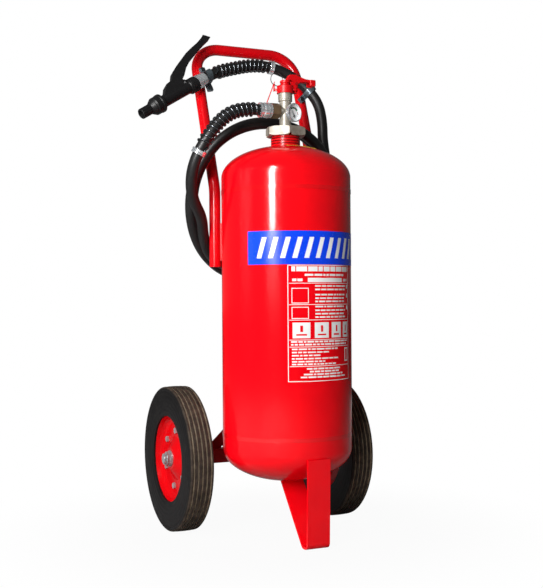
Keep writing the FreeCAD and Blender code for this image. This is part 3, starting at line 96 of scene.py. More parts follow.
# %% Camera
IMAGE_SIZE = (543, 588)
FOCAL_PIXELS = 1045.0
camera_place = Vector((-1.04876, -2.29125, 0.55294))
camera_right = Vector((0.90823, -0.41841, -0.00661)).normalized()
camera_up = Vector((0.00426, -0.00654, 0.99997))
camera_back = camera_right.cross(camera_up).normalized()
camera_up = camera_back.cross(camera_right)

camera = bpy.data.objects.new("camera", bpy.data.cameras.new("camera"))
bpy.context.scene.collection.objects.link(camera)
camera.matrix_world = Matrix.Translation(camera_place) @ Matrix(
    (camera_right, camera_up, camera_back)).transposed().to_4x4()
camera.data.sensor_width = 36.0
camera.data.lens = FOCAL_PIXELS / max(IMAGE_SIZE) * camera.data.sensor_width
bpy.context.scene.camera = camera
print("lens", round(camera.data.lens, 2), "mm")

# %% [markdown]
# The hose leaves the valve to the left, drops behind the cylinder, lies in loose turns between the
# handle's legs and rises on the right to the nozzle. A real hose has no corners, so it is one NURBS
# line with a round bevel. The turns come from a loop: their reach changes from quarter to quarter,
# and the lower a turn hangs, the further back it leans over the axle.

# %% The wound turns of the hose
COIL_REACH = [172.0, 175.0, 162.0, 195.0, 196.0, 181.0, 170.0, 180.0, 150.0, 185.0]
COIL_UP = 805.0
COIL_BACK = 61.0
COIL_DROP = (127.0, 322.0)        # back and down, from the top of the turns to their bottom
COIL_STEP = 31.0
COIL_SKEW = 0.063
COIL_LEAD = 0.026                 # how far the turns run on straight at both ends, in metres
STEPS_PER_QUARTER = 4
step_turn = math.pi / 2 / STEPS_PER_QUARTER
spread = 1 / (0.75 + 0.25 * math.cos(step_turn))   # the line runs inside its points by this much


def coil_place(quarters, widen=1.0):
    """The middle of the hose after so many quarter turns, counted from the bottom."""
    whole = min(int(quarters), len(COIL_REACH) - 2)
    share = quarters - whole
    ease = share * share * (3 - 2 * share)
    reach = COIL_REACH[whole] * (1 - ease) + COIL_REACH[whole + 1] * ease
    turn = (quarters + 1) / 4
    x, z = -reach * math.cos(turn * 2 * math.pi), -reach * math.sin(turn * 2 * math.pi)
    low = max(0.0, (COIL_REACH[2] - z) / COIL_DROP[1])
    y = COIL_BACK + COIL_DROP[0] * low ** 1.5 + COIL_STEP * (turn - 0.75) + COIL_SKEW * x
    return at(x * widen, y, COIL_UP + z * widen)


last_quarter = len(COIL_REACH) - 1
coil_points = [coil_place(i / STEPS_PER_QUARTER, spread)
               for i in range(last_quarter * STEPS_PER_QUARTER + 1)]
lead_in = (coil_place(0) - coil_place(0.02)).normalized()
lead_out = (coil_place(last_quarter) - coil_place(last_quarter - 0.02)).normalized()
coil_start = coil_place(0) + lead_in * COIL_LEAD
coil_end = coil_place(last_quarter) + lead_out * COIL_LEAD
print(len(coil_points), "points in the turns")

# %% The hose
from_valve = [at(-66.5, 0, 987), at(-109, 0, 987), at(-154, -1, 967), at(-196, -4, 918),
              at(-221, 9, 868), at(-225, 30, 822), at(-209, 57, 779), at(-176, 85, 742),
              at(-161, 118, 698), at(-133, 150, 657), coil_start + lead_in * 0.058, coil_start]
to_nozzle = [coil_end, coil_end + lead_out * 0.041, at(179, 144, 911), at(176, 150, 953),
             at(178, 155, 997), on_handle(170, 235, 30.65), on_handle(150, 272, HOSE_STANDS_OFF),
             on_handle(119, 303, HOSE_STANDS_OFF), on_handle(80, 324, HOSE_STANDS_OFF),
             on_handle(39, 335, HOSE_STANDS_OFF), on_handle(-6, 332, HOSE_STANDS_OFF),
             on_handle(-49, 320, HOSE_STANDS_OFF), on_nozzle(-67, 0), on_nozzle(-27, 0)]
hose_points = from_valve + coil_points[1:-1] + to_nozzle


def smooth_line(name, points, radius):
    """A round tube along a smooth line that has these points as its control points."""
    curve = bpy.data.curves.new(name, "CURVE")
    curve.dimensions = "3D"
    spline = curve.splines.new("NURBS")
    spline.points.add(len(points) - 1)
    for knot, point in zip(spline.points, points):
        knot.co = (*point, 1.0)
        knot.radius = radius          # the bevel is one metre deep, so this is the tube's radius
    spline.order_u = 3
    spline.use_endpoint_u = True
    spline.resolution_u = 8
    curve.bevel_depth = 1.0
    curve.bevel_resolution = 8
    made = bpy.data.objects.new(name, curve)
    bpy.context.scene.collection.objects.link(made)
    return made


hose = smooth_line("hose", hose_points, HOSE_R / 1000)
print(len(hose_points), "points along the hose")

# %% [markdown]
# The wire guards, their bands and the printing on the hose's ends have to follow the very same line.
# So the line is read back from Blender with its bevel off, measured, and given a side direction that
# is carried along without twisting.

# %% Measure along the hose
def read_line(tube):
    """The points of a curve's own line, in order."""
    bevel, tube.data.bevel_depth = tube.data.bevel_depth, 0.0
    bpy.context.view_layer.update()
    line = bpy.data.meshes.new_from_object(tube.evaluated_get(bpy.context.evaluated_depsgraph_get()))
    points = [v.co.copy() for v in line.vertices]
    bpy.data.meshes.remove(line)
    tube.data.bevel_depth = bevel
    return points


class Line:
    """A measured line: ask for the place, the direction and the carried side at a distance."""

    def __init__(self, points):
        self.points, self.reach, self.sides = points, [0.0], []
        for a, b in zip(points, points[1:]):
            self.reach.append(self.reach[-1] + (b - a).length)
        ways = [(b - a).normalized() for a, b in zip(points, points[1:])]
        self.ways = ways + ways[-1:]
        side = self.ways[0].orthogonal().normalized()
        for run in self.ways:
            side = (side - run * side.dot(run)).normalized()
            self.sides.append(side)

    def at(self, distance):
        i = 0
        while i < len(self.points) - 2 and self.reach[i + 1] < distance:
            i += 1
        share = (distance - self.reach[i]) / (self.reach[i + 1] - self.reach[i])
        place = self.points[i].lerp(self.points[i + 1], share)
        run = self.ways[i].lerp(self.ways[i + 1], share).normalized()
        side = self.sides[i].lerp(self.sides[i + 1], share)
        return place, run, (side - run * side.dot(run)).normalized()


hose_line = Line(read_line(hose))
hose_length = hose_line.reach[-1]
print("hose length", round(hose_length, 3), "m")

# %% [markdown]
# Each end of the hose has a guard of spring wire, wound in even turns, that keeps it from kinking.
# A helix is drawn point by point round the measured line and given a round section. Its ends bend
# straight along the hose and disappear under a crimped band or a ferrule.

# %% Mesh helpers
def keep(name, vertices, faces, smooth=True):
    """A new mesh object from plain lists."""
    mesh = bpy.data.meshes.new(name)
    mesh.from_pydata([tuple(v) for v in vertices], [], faces)
    mesh.polygons.foreach_set("use_smooth", [smooth] * len(mesh.polygons))
    mesh.validate()
    mesh.update()
    made = bpy.data.objects.new(name, mesh)
    bpy.context.scene.collection.objects.link(made)
    return made


def tube(name, points, radius, around=12):
    """A round wire through points that lie close together, closed at its ends."""
    line = Line(points)
    vertices, faces = [], []
    for place, run, side in zip(line.points, line.ways, line.sides):
        up = run.cross(side)
        for k in range(around):
            turn = 2 * math.pi * k / around
            vertices.append(place + side * (radius * math.cos(turn)) + up * (radius * math.sin(turn)))
    for i in range(len(points) - 1):
        for k in range(around):
            a, b = i * around + k, i * around + (k + 1) % around
            faces.append((a, b, b + around, a + around))
    faces.append(tuple(reversed(range(around))))
    faces.append(tuple(range(len(vertices) - around, len(vertices))))
    return keep(name, vertices, faces)


def lathe(name, outline, origin, along, around=72):
    """A closed outline of (radius, distance) pairs in metres, turned about a line."""
    side = along.orthogonal().normalized()
    up = along.cross(side)
    vertices, faces = [], []
    for k in range(around):
        turn = 2 * math.pi * k / around
        spoke = side * math.cos(turn) + up * math.sin(turn)
        vertices += [origin + spoke * r + along * d for r, d in outline]
    n = len(outline)
    for k in range(around):
        for i in range(n):
            a, b = k * n + i, k * n + (i + 1) % n
            c, d = ((k + 1) % around) * n + (i + 1) % n, ((k + 1) % around) * n + i
            faces.append((a, b, c, d))
    return keep(name, vertices, faces)


print("helpers ready")

# %% Spring guards
GUARD_WIRE_R = 0.0020
GUARD_REACH = (HOSE_R + 0.25) / 1000 + GUARD_WIRE_R
GUARD_PITCH = 0.0119
GUARD_LEAD = 0.011                # the straight run at each end of a guard
GUARD_LEAD_TURN = 0.3
GUARD_FLARE = 0.0006
LEAD_STEPS = 5
STEPS_PER_TURN = 20
NOZZLE_SLEEVE = 0.026             # the end of the hose that the nozzle's ferrule covers
LOWER_TURNS = 14
UPPER_TURNS = 12


def wind(line, first, turns, backward=False):
    """The middle line of a guard's wire: straight, wound in even turns, and straight again."""
    wound = GUARD_PITCH * turns
    steps = turns * STEPS_PER_TURN
    points = []
    for i in range(-LEAD_STEPS, steps + LEAD_STEPS + 1):
        share = min(max(i / steps, 0.0), 1.0)
        beyond = (abs(min(i, 0)) + max(i - steps, 0)) / LEAD_STEPS
        run = first + GUARD_LEAD + wound * share + math.copysign(GUARD_LEAD, i) * beyond
        turn = 2 * math.pi * turns * share + math.copysign(GUARD_LEAD_TURN, i) * beyond
        here = hose_length - run if backward else run
        place, along, side = line.at(here)
        spoke = side * math.cos(turn) + along.cross(side) * math.sin(turn)
        points.append(place + spoke * (GUARD_REACH + GUARD_FLARE * beyond))
    return points


lower_guard = tube("outlet_guard_wire", wind(hose_line, 0.0, LOWER_TURNS), GUARD_WIRE_R)
upper_guard = tube("nozzle_guard_wire", wind(hose_line, NOZZLE_SLEEVE, UPPER_TURNS, True), GUARD_WIRE_R)
print("guard wires", len(lower_guard.data.vertices), len(upper_guard.data.vertices))

# %% Guard bands
BAND_LENGTH = 0.011
BAND_INSIDE = 0.0135
BAND_OUTSIDE = 0.0166
BEAD_OUTSIDE = 0.0172
band_outline = [(BAND_INSIDE, 0.0), (BAND_OUTSIDE, 0.0), (BEAD_OUTSIDE, 0.0006), (BEAD_OUTSIDE, 0.0026),
                (BAND_OUTSIDE, 0.0032), (BAND_OUTSIDE, 0.0080), (BEAD_OUTSIDE, 0.0086),
                (BEAD_OUTSIDE, 0.0104), (BAND_OUTSIDE, BAND_LENGTH), (BAND_INSIDE, BAND_LENGTH)]


def guard_band(name, distance, direction):
    """A crimped band round the hose, so far along it, that closes the end of a guard."""
    place, along, _ = hose_line.at(distance)
    return lathe(name, band_outline, place, along * direction)


lower_end = 2 * GUARD_LEAD + GUARD_PITCH * LOWER_TURNS
upper_end = hose_length - NOZZLE_SLEEVE - 2 * GUARD_LEAD - GUARD_PITCH * UPPER_TURNS
lower_band = guard_band("outlet_guard_band", lower_end, 1)
upper_band = guard_band("nozzle_guard_band", upper_end, -1)
print("bands at", round(lower_end, 3), round(upper_end, 3))

# %% [markdown]
# The valve has a small spring under its button. Pressing the lever shortens it, which a rigid mesh can't do;
# here it is wound as a fixed coil of wire at rest, in place of the imported one.

# %% Valve spring
SPRING_FOOT = at(0.0, 0.0, 1014.5)
SPRING_HEIGHT = 0.0162
SPRING_COIL_R = 0.0052
SPRING_WIRE_R = 0.0006
SPRING_TURNS = 5

spring_steps = SPRING_TURNS * STEPS_PER_TURN
spring_points = []
for i in range(spring_steps + 1):
    turn = 2 * math.pi * SPRING_TURNS * i / spring_steps
    rise = SPRING_WIRE_R + (SPRING_HEIGHT - 2 * SPRING_WIRE_R) * i / spring_steps
    x, y = SPRING_COIL_R * math.cos(turn), SPRING_COIL_R * math.sin(turn)
    spring_points.append(SPRING_FOOT + Vector((x, y, rise)))
valve_coil = tube("valve_return_spring", spring_points, SPRING_WIRE_R, around=10)
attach(valve_coil, "extinguisher")
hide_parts("valve_spring")
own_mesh(valve_coil)

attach(hose, "extinguisher")
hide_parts("hose_outlet_run", "hose_coil", "hose_nozzle_run")
for wire, node in ((lower_guard, "outlet_spring_guard"), (upper_guard, "nozzle_spring_guard")):
    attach(wire, "extinguisher")
    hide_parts(node)
for band in (lower_band, upper_band):
    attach(band, "extinguisher")
    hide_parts("guard_bands")
print("hose declared")

# %% [markdown]
# A finish is a small tree of shader nodes. Written as nodes it is hard to read, so one class wraps a
# socket and turns sums on it into Math nodes, and another holds the material and adds any other node.

# %% Shader maths
class Signal:
    """What comes out of a shader node, usable in sums such as 1 - mask * 0.3."""

    def __init__(self, finish, output):
        self.finish, self.output = finish, output

    def sum(self, operation, *values):
        return self.finish.node("ShaderNodeMath", {"operation": operation}, dict(enumerate(values)))

    def __add__(self, other):
        return self.sum("ADD", self, other)

    def __sub__(self, other):
        return self.sum("SUBTRACT", self, other)

    def __rsub__(self, other):
        return self.sum("SUBTRACT", other, self)

    def __mul__(self, other):
        return self.sum("MULTIPLY", self, other)

    __radd__, __rmul__ = __add__, __mul__

    def over(self, limit):
        return self.sum("GREATER_THAN", self, limit)

    def ramp(self, low, high, start=0.0, end=1.0):
        """Follows the signal from low to high, and stays between start and end."""
        return self.finish.node("ShaderNodeMapRange", {"interpolation_type": "SMOOTHSTEP"},
                                {0: self, 1: low, 2: high, 3: start, 4: end})


class Finish:
    """One material: a principled shader and the nodes that vary it."""

    def __init__(self, name, colour, roughness, **fixed):
        self.material = bpy.data.materials.new(name)
        self.material.use_nodes = True
        self.tree = self.material.node_tree
        self.shader = self.tree.nodes["Principled BSDF"]
        self.feed("Base Color", (*colour, 1.0))
        self.feed("Roughness", roughness)
        for socket, value in fixed.items():
            self.feed(socket.replace("_", " "), value)
        self.material.diffuse_color = (*colour, 1.0)

    def put(self, socket, value):
        if isinstance(value, Signal):
            self.tree.links.new(value.output, socket)
        else:
            socket.default_value = value

    def feed(self, socket, value):
        self.put(self.shader.inputs[socket], value)

    def node(self, kind, settings=None, values=None, output=0):
        made = self.tree.nodes.new(kind)
        for key, value in (settings or {}).items():
            setattr(made, key, value)
        for key, value in (values or {}).items():
            self.put(made.inputs[key], value)
        return Signal(self, made.outputs[output])

    def place(self):
        return self.node("ShaderNodeTexCoord", output="Object")

    def split(self, vector):
        return [self.node("ShaderNodeSeparateXYZ", values={0: vector}, output=i) for i in range(3)]

    def noise(self, scale, detail=3.0, rough=0.55, vector=None):
        return self.node("ShaderNodeTexNoise", values={
            "Vector": vector or self.place(), "Scale": scale, "Detail": detail, "Roughness": rough},
            output="Fac")

    def between(self, factor, a, b):
        """A colour that goes from a to b with the factor."""
        a, b = (c if isinstance(c, Signal) else (*c, 1.0) for c in (a, b))
        return self.node("ShaderNodeMix", {"data_type": "RGBA"}, {0: factor, 6: a, 7: b}, output=2)

    def relief(self, height, distance, strength=1.0):
        self.feed("Normal", self.node("ShaderNodeBump", values={
            "Height": height, "Distance": distance, "Strength": strength}, output="Normal"))


print("shader maths ready")

# %% [markdown]
# The cylinder, handle, rims, axle beam and foot are all one red enamel, sprayed and stoved. The cylinder and
# foot wear it as it is. The handle, rims, axle beam and seams get darker copies of it, and their darkness is
# painted shade. Real enamel is never quite even: it has a faint ripple called orange peel, the colour lies a
# little thicker in places, and dust dulls the gloss. Three noises at three scales give that.

# %% Red enamel
def enamel(name, colour, deep, peel=0.00001, gloss=0.10, shine=0.3):
    """Sprayed paint: peel is the depth of its ripple in metres, and a lower gloss value shines more."""
    f = Finish(name, colour, gloss, Specular_IOR_Level=shine)
    thickness = f.noise(9.0, 2.0)
    dust = f.noise(140.0, 5.0, 0.7)
    f.feed("Base Color", f.between(thickness.ramp(0.35, 0.75), colour, deep))
    f.feed("Roughness", gloss + dust.ramp(0.5, 0.8) * 0.10 + thickness * 0.05)
    f.relief(f.noise(260.0, 2.0), peel, 0.5)
    return f


red_enamel = enamel("red_enamel", (0.80, 0.0016, 0.006), (0.70, 0.0014, 0.006))
# The handle's copy is darker than the cylinder's: painted shade on the same red.
tube_enamel_painted_shade = enamel("tube_enamel_painted_shade", (0.62, 0.0014, 0.005), (0.52, 0.0012, 0.005), gloss=0.16)
# The rims' copy is darker still: painted shade on the same red.
rim_enamel_painted_shade = enamel("rim_enamel_painted_shade", (0.52, 0.0015, 0.004), (0.42, 0.0015, 0.004), gloss=0.14, shine=0.12)
# The seam beads' copy is a little darker, which paints the shade of the seam line, and glossier, which is
# the bead's own shine.
seam_enamel_painted_shade = enamel("seam_enamel_painted_shade", (0.70, 0.0012, 0.005), (0.58, 0.001, 0.004), gloss=0.08, shine=0.6)
# The axle beam and gusset get the darkest copy: painted shade on the same red.
frame_enamel_painted_shade = enamel("frame_enamel_painted_shade", (0.30, 0.002, 0.004), (0.20, 0.002, 0.004), 0.00002, gloss=0.3)
print("enamels ready")

# %% Painted thread of the neck
painted_thread = enamel("painted_thread", (0.62, 0.003, 0.006), (0.46, 0.003, 0.005), gloss=0.24)
THREAD_PITCH = 0.0062
height = painted_thread.split(painted_thread.place())[2]
ridge = height.sum("SINE", height * (2 * math.pi / THREAD_PITCH)).ramp(-0.9, 0.1)
# The grooves of the thread are coloured near black: painted shade in the hollows of the thread.
thread_tone_painted_groove_shade = painted_thread.between(ridge, (0.16, 0.001, 0.002), (0.66, 0.003, 0.006))
painted_thread.feed("Base Color", thread_tone_painted_groove_shade)
painted_thread.relief(ridge, 0.0012, 0.9)

# %% [markdown]
# Metals differ mostly in colour and in how sharp their reflections are. The valve is pale cast
# brass, grainy under its plating; the hexagon by the hose has a brownish passivated skin; wire, bolts
# and washers are zinc plated; the ferrules and the gauge's ring are bright chrome.

# %% Metals
def metal(name, colour, dull, roughness, metallic, grain=0.00001):
    """Part of the light comes back evenly, from a satin surface whose grain is so many metres deep."""
    f = Finish(name, colour, roughness, Metallic=metallic)
    stain = f.noise(45.0, 5.0, 0.65)
    f.feed("Base Color", f.between(stain.ramp(0.40, 0.72), colour, dull))
    f.feed("Roughness", roughness + stain.ramp(0.4, 0.8) * 0.14)
    f.relief(f.noise(260.0, 2.0, 0.5), grain, 0.4)
    return f


POLISHED = 0.000001
cast_brass = metal("cast_brass", (0.34, 0.31, 0.26), (0.20, 0.175, 0.135), 0.40, 0.28)
passivated = metal("passivated_brass", (0.20, 0.13, 0.07), (0.11, 0.065, 0.04), 0.28, 0.5)
zinc = metal("zinc_plate", (0.42, 0.43, 0.44), (0.22, 0.22, 0.22), 0.28, 0.6)
clip_steel = metal("clip_steel", (0.16, 0.20, 0.225), (0.06, 0.075, 0.085), 0.25, 0.6)
black_bolts = metal("black_bolts", (0.030, 0.034, 0.038), (0.014, 0.014, 0.015), 0.3, 0.5)
chrome = metal("bright_chrome", (0.95, 0.98, 1.0), (0.62, 0.66, 0.70), 0.12, 0.80, POLISHED)
wire_steel = metal("wire_steel", (0.10, 0.10, 0.10), (0.05, 0.05, 0.05), 0.3, 0.7)
guard_steel = metal("spring_wire", (0.12, 0.13, 0.14), (0.05, 0.05, 0.055), 0.16, 0.9, POLISHED)
print("metals ready")

# %% [markdown]
# Rubber and moulded plastic are not metals, and what tells them apart is the sheen. The hose was
# cured in cloth, which leaves a fine grain; the tyres are solid rubber, with dust in the grooves of
# their brown tread; the nozzle is satin black nylon; the cap and lever are red nylon.

# %% Rubber and plastic
hose_rubber = Finish("hose_rubber", (0.009, 0.0085, 0.0085), 0.42, Specular_IOR_Level=0.35)
scuff = hose_rubber.noise(30.0, 5.0, 0.7)
hose_tone = hose_rubber.between(scuff.ramp(0.5, 0.8), (0.008, 0.0075, 0.0075), (0.016, 0.0145, 0.014))
hose_rubber.feed("Base Color", hose_tone)
hose_rubber.feed("Roughness", 0.36 + scuff * 0.16)
hose_rubber.relief(hose_rubber.noise(700.0, 2.0), 0.00002, 0.5)

WHEEL_AXIS = (0.080652, 0.172)    # back and up
WHEEL_APART = 0.414
GROOVE_FLOOR = 0.1688             # these three are distances from the axle
SHOULDER_OF_TYRE = 0.1655
TREAD = 0.1705
GROOVES_HALF_WIDTH = 0.0262
RING_SPACING = 0.011
tyre_rubber = Finish("tyre_rubber", (0.008, 0.007, 0.006), 0.6, Specular_IOR_Level=0.15)
sideways, back, up = tyre_rubber.split(tyre_rubber.place())
back, up = back - WHEEL_AXIS[0], up - WHEEL_AXIS[1]
from_axle = back.sum("SQRT", back * back + up * up)
off_middle = sideways.sum("ABSOLUTE", sideways.sum("ABSOLUTE", sideways) - WHEEL_APART / 2)
mottle = tyre_rubber.noise(70.0, 6.0, 0.7)
streaks = tyre_rubber.noise(9.0, 4.0, 0.6)
side_tone = tyre_rubber.between(mottle.ramp(0.4, 0.75), (0.0045, 0.004, 0.0042), (0.010, 0.009, 0.0085))
tread_tone = tyre_rubber.between(mottle.ramp(0.35, 0.75), (0.018, 0.013, 0.010), (0.065, 0.047, 0.034))
dust_tone = tyre_rubber.between(mottle.ramp(0.3, 0.8), (0.17, 0.125, 0.085), (0.34, 0.27, 0.195))
on_tread = from_axle.ramp(SHOULDER_OF_TYRE, TREAD)
above_floor = from_axle.ramp(GROOVE_FLOOR + 0.0003, GROOVE_FLOOR + 0.0016)
in_groove = (1 - above_floor) * (1 - off_middle.over(GROOVES_HALF_WIDTH))
dusty = in_groove * from_axle.over(0.160) * streaks.ramp(0.25, 0.6, 0.45, 1.0)
rubber = tyre_rubber.between(on_tread, side_tone, tread_tone)
tyre_rubber.feed("Base Color", tyre_rubber.between(dusty, rubber, dust_tone))
tyre_rubber.feed("Roughness", 0.45 + on_tread * 0.25 + mottle * 0.1)
mould_rings = from_axle.sum("SINE", from_axle * (2 * math.pi / RING_SPACING))
tyre_rubber.relief(mottle * 0.4 + mould_rings * 0.25, 0.0006, 0.6)


def nylon(name, colour, worn, roughness, shine=0.3):
    """Moulded plastic, a little paler where hands have rubbed it."""
    f = Finish(name, colour, roughness, Specular_IOR_Level=shine)
    rub = f.noise(85.0, 5.0, 0.7)
    f.feed("Base Color", f.between(rub.ramp(0.55, 0.85), colour, worn))
    f.feed("Roughness", roughness + rub * 0.14)
    f.relief(f.noise(500.0, 2.0), 0.00001, 0.5)
    return f


black_nylon = nylon("black_nylon", (0.007, 0.0068, 0.0072), (0.014, 0.014, 0.0145), 0.36, 0.22)
red_nylon = nylon("red_nylon", (0.60, 0.002, 0.005), (0.45, 0.006, 0.008), 0.3, 0.25)
pin_red = nylon("pin_red", (0.28, 0.003, 0.005), (0.2, 0.004, 0.006), 0.35)
seal_strip = nylon("seal_strip", (0.70, 0.004, 0.006), (0.50, 0.01, 0.01), 0.3)
FERRULE_TOP = 1.0062
above_ferrule = seal_strip.split(seal_strip.place())[2].over(FERRULE_TOP)
seal_tone = seal_strip.between(above_ferrule, (0.22, 0.22, 0.22), (0.68, 0.004, 0.006))
seal_strip.feed("Base Color", seal_tone)
seal_rubber = nylon("seal_rubber", (0.03, 0.03, 0.03), (0.05, 0.05, 0.05), 0.5)
print("rubbers and plastics ready")

# %% Dial, lens and printing ink
dial_white = nylon("dial_white", (0.84, 0.86, 0.86), (0.76, 0.78, 0.78), 0.5, 0.1)
dial_black = nylon("dial_black", (0.012, 0.012, 0.012), (0.03, 0.03, 0.03), 0.4)
dial_green = nylon("dial_green", (0.004, 0.06, 0.018), (0.008, 0.08, 0.03), 0.4, 0.1)
dial_red = nylon("dial_red", (0.55, 0.01, 0.012), (0.4, 0.02, 0.02), 0.4)
lens = Finish("clear_lens", (1.0, 1.0, 1.0), 0.03)
lens.feed("Alpha", 0.02 + lens.noise(90.0, 4.0) * 0.02)
lens.feed("Roughness", lens.noise(60.0, 4.0) * 0.05)
blue_ink = enamel("blue_ink", (0.004, 0.055, 0.80), (0.003, 0.045, 0.66), 0.00003, 0.22)
white_ink = enamel("white_ink", (0.86, 0.86, 0.85), (0.78, 0.78, 0.77), 0.00003, 0.26)
yellow_ink = enamel("yellow_ink", (0.75, 0.56, 0.04), (0.55, 0.40, 0.04), 0.00003, 0.4)

# %% [markdown]
# Every CAD node gets its finish by name. Round meshes are made of small flat facets, and a small
# offset keeps those facets from showing where a surface turns away from the light.

# %% Finish for every CAD node
finish_of = {
    red_enamel: "barrel top_dome bottom_dome front_foot",
    seam_enamel_painted_shade: "seam_beads",
    tube_enamel_painted_shade: "handle_tube handle_sockets socket_standoffs",
    rim_enamel_painted_shade: "left_rim right_rim",
    frame_enamel_painted_shade: "axle_beam axle_gusset",
    painted_thread: "neck_collar",
    cast_brass: "union_nut valve_body valve_stem",
    passivated: "outlet_fitting",
    clip_steel: "clip_bars hose_clips guard_bands",
    black_bolts: "clip_bolts",
    seal_strip: "tamper_seal",
    wire_steel: "pull_ring",
    zinc: "valve_spring axle axle_washers axle_nuts cotter_pins left_hub right_hub left_rim_bolts "
          "right_rim_bolts trigger_pin nozzle_needle dip_tube",
    chrome: "gauge_case outlet_ferrule nozzle_ferrule",
    guard_steel: "outlet_spring_guard nozzle_spring_guard",
    black_nylon: "nozzle_tail_nut nozzle_body nozzle_collar nozzle_tip nozzle_trigger",
    red_nylon: "valve_cap push_button valve_lever safety_pin",
    pin_red: "lever_pin",
    hose_rubber: "hose_outlet_run hose_coil hose_nozzle_run",
    tyre_rubber: "left_tyre right_tyre",
    seal_rubber: "neck_seal",
    dial_white: "gauge_dial printed_films",
    dial_black: "gauge_pointer",
    lens: "gauge_lens",
}
unfinished = set(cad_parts)
for finish, names in finish_of.items():
    for name in names.split():
        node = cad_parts[name]
        for material_slot in node.material_slots:
            material_slot.material = finish.material
        node.cycles.shadow_terminator_geometry_offset = 0.3
        unfinished.discard(name)
print("nodes without a finish:", sorted(unfinished))

# The gauge's pointer is very thin, and a coat of paint makes it easier to see.
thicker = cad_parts["gauge_pointer"].modifiers.new("paint", "DISPLACE")
thicker.strength = 0.0008
thicker.mid_level = 0.0


def wear(piece, finish):
    """Gives a new piece its finish."""
    piece.data.materials.append(finish.material)
    return piece


wear(hose, hose_rubber)
for piece in (lower_guard, upper_guard):
    wear(piece, guard_steel)
for piece in (lower_band, upper_band):
    wear(piece, chrome)
wear(valve_coil, zinc)

# %% [markdown]
# The printing lies on the cylinder as thin films. A film is a strip of the same curve, a third of a
# millimetre proud. The white shapes are printed on it as more strips, finer ones a hair further out.
# They are plain blocks, bars and frames, because this part carries no words.

# %% Strips that follow the cylinder
FILM_R = CYLINDER_R + 0.35
FILM_THICKNESS = 0.29
INK_STEP = 0.06


def strips(name, boxes, radius, thickness, finish):
    """Curved plates on the cylinder, from (angle, angle, low, high) boxes in degrees and millimetres."""
    vertices, faces = [], []
    for a0, a1, z0, z1 in boxes:
        count = max(1, math.ceil(abs(a1 - a0) / 1.5))
        base = len(vertices)
        for i in range(count + 1):
            turn = math.radians(a0 + (a1 - a0) * i / count)
            for r, z in ((radius - thickness, z0), (radius, z0), (radius, z1), (radius - thickness, z1)):
                vertices.append(at(r * math.cos(turn), r * math.sin(turn), z))
        for i in range(count):
            for k in range(4):
                a, b = base + 4 * i + k, base + 4 * i + (k + 1) % 4
                faces.append((a, a + 4, b + 4, b))
        faces.append((base + 3, base + 2, base + 1, base))
        end = base + 4 * count
        faces.append((end, end + 1, end + 2, end + 3))
    made = keep(name, vertices, faces, smooth=False)
    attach(made, "extinguisher")
    return wear(made, finish)


BAND = (-149.9, -26.1, 627.0, 701.0)      # left and right in degrees, bottom and top in millimetres
PANEL = (-114.7, -48.1, 370.0, 626.0)
blue_band = strips("blue_band", [BAND], FILM_R, FILM_THICKNESS, blue_ink)
info_film = strips("info_film", [PANEL], FILM_R, FILM_THICKNESS, red_enamel)
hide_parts("printed_films")
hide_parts("printed_films")

# %% White shapes on the band
MARKS = 11
MARK_START, MARK_STEP, MARK_WIDTH, MARK_LEAN = -141.0, 10.2, 4.2, 5.0      # in degrees
MARK_LOW, MARK_HEIGHT, MARK_OVERLAP = 641.0, 46.0, 0.02
MARK_ROWS = 12                    # a slanted mark is a stair of so many thin rows

slanted = []
for i in range(MARKS):
    left = MARK_START + MARK_STEP * i
    for j in range(MARK_ROWS):
        z0 = MARK_LOW + MARK_HEIGHT * j / MARK_ROWS
        lean = MARK_LEAN * j / MARK_ROWS
        slanted.append((left + lean, left + lean + MARK_WIDTH,
                        z0, z0 + MARK_HEIGHT / MARK_ROWS + MARK_OVERLAP))
strips("band_marks", slanted, FILM_R + INK_STEP, INK_STEP, white_ink)
print("band marks", len(slanted))

# %% White frames and bars on the panel
LINE_ASPECT = 1.45                # the panel's height over its width
BAR_GAP = 0.014
SHORTEST_BAR = 0.03


def on_panel(x0, x1, y0, y1):
    """A box given in shares of the panel, from its left and from its top."""
    left, right, low, top = PANEL
    wide, high = right - left, top - low
    return left + wide * x0, left + wide * x1, top - high * y1, top - high * y0


def hollow(x0, x1, y0, y1, line=0.006):
    """Four thin strips that draw a frame, as wide across as they are high."""
    across = line * LINE_ASPECT
    return [on_panel(x0, x1, y0, y0 + line), on_panel(x0, x1, y1 - line, y1),
            on_panel(x0, x0 + across, y0, y1), on_panel(x1 - across, x1, y0, y1)]


def bars(x0, x1, y, height, seed, longest=0.12):
    """A row of short bars of uneven length, where the real panel has a line of small print."""
    pick = random.Random(seed)
    made, x = [], x0
    while x < x1 - 0.02:
        end = min(x + pick.uniform(SHORTEST_BAR, longest), x1)
        made.append(on_panel(x, end, y, y + height))
        x = end + BAR_GAP
    return made


print_boxes = hollow(0.0, 1.0, 0.0, 1.0)
for y in (0.155, 0.338, 0.470, 0.640, 0.700, 0.866):
    print_boxes.append(on_panel(0.02, 0.98, y, y + 0.005))
print_boxes += bars(0.05, 0.96, 0.014, 0.042, 1, 0.16)
print_boxes += bars(0.22, 0.86, 0.077, 0.018, 2)
print_boxes += [on_panel(0.26, 0.82, 0.112, 0.148)]
print_boxes += bars(0.06, 0.19, 0.118, 0.022, 3) + bars(0.86, 0.95, 0.118, 0.022, 4)
print_boxes += hollow(0.05, 0.27, 0.198, 0.330) + hollow(0.05, 0.27, 0.360, 0.462)
for i, y in enumerate((0.175, 0.205, 0.250, 0.280, 0.308, 0.352, 0.384, 0.414, 0.442)):
    print_boxes += bars(0.36, 0.90, y, 0.013, 10 + i)
for y in (0.170, 0.248, 0.352):
    print_boxes.append(on_panel(0.94, 0.975, y, y + 0.034))
PICTURES = ((0.06, 0.29), (0.35, 0.56), (0.61, 0.79), (0.84, 0.97))
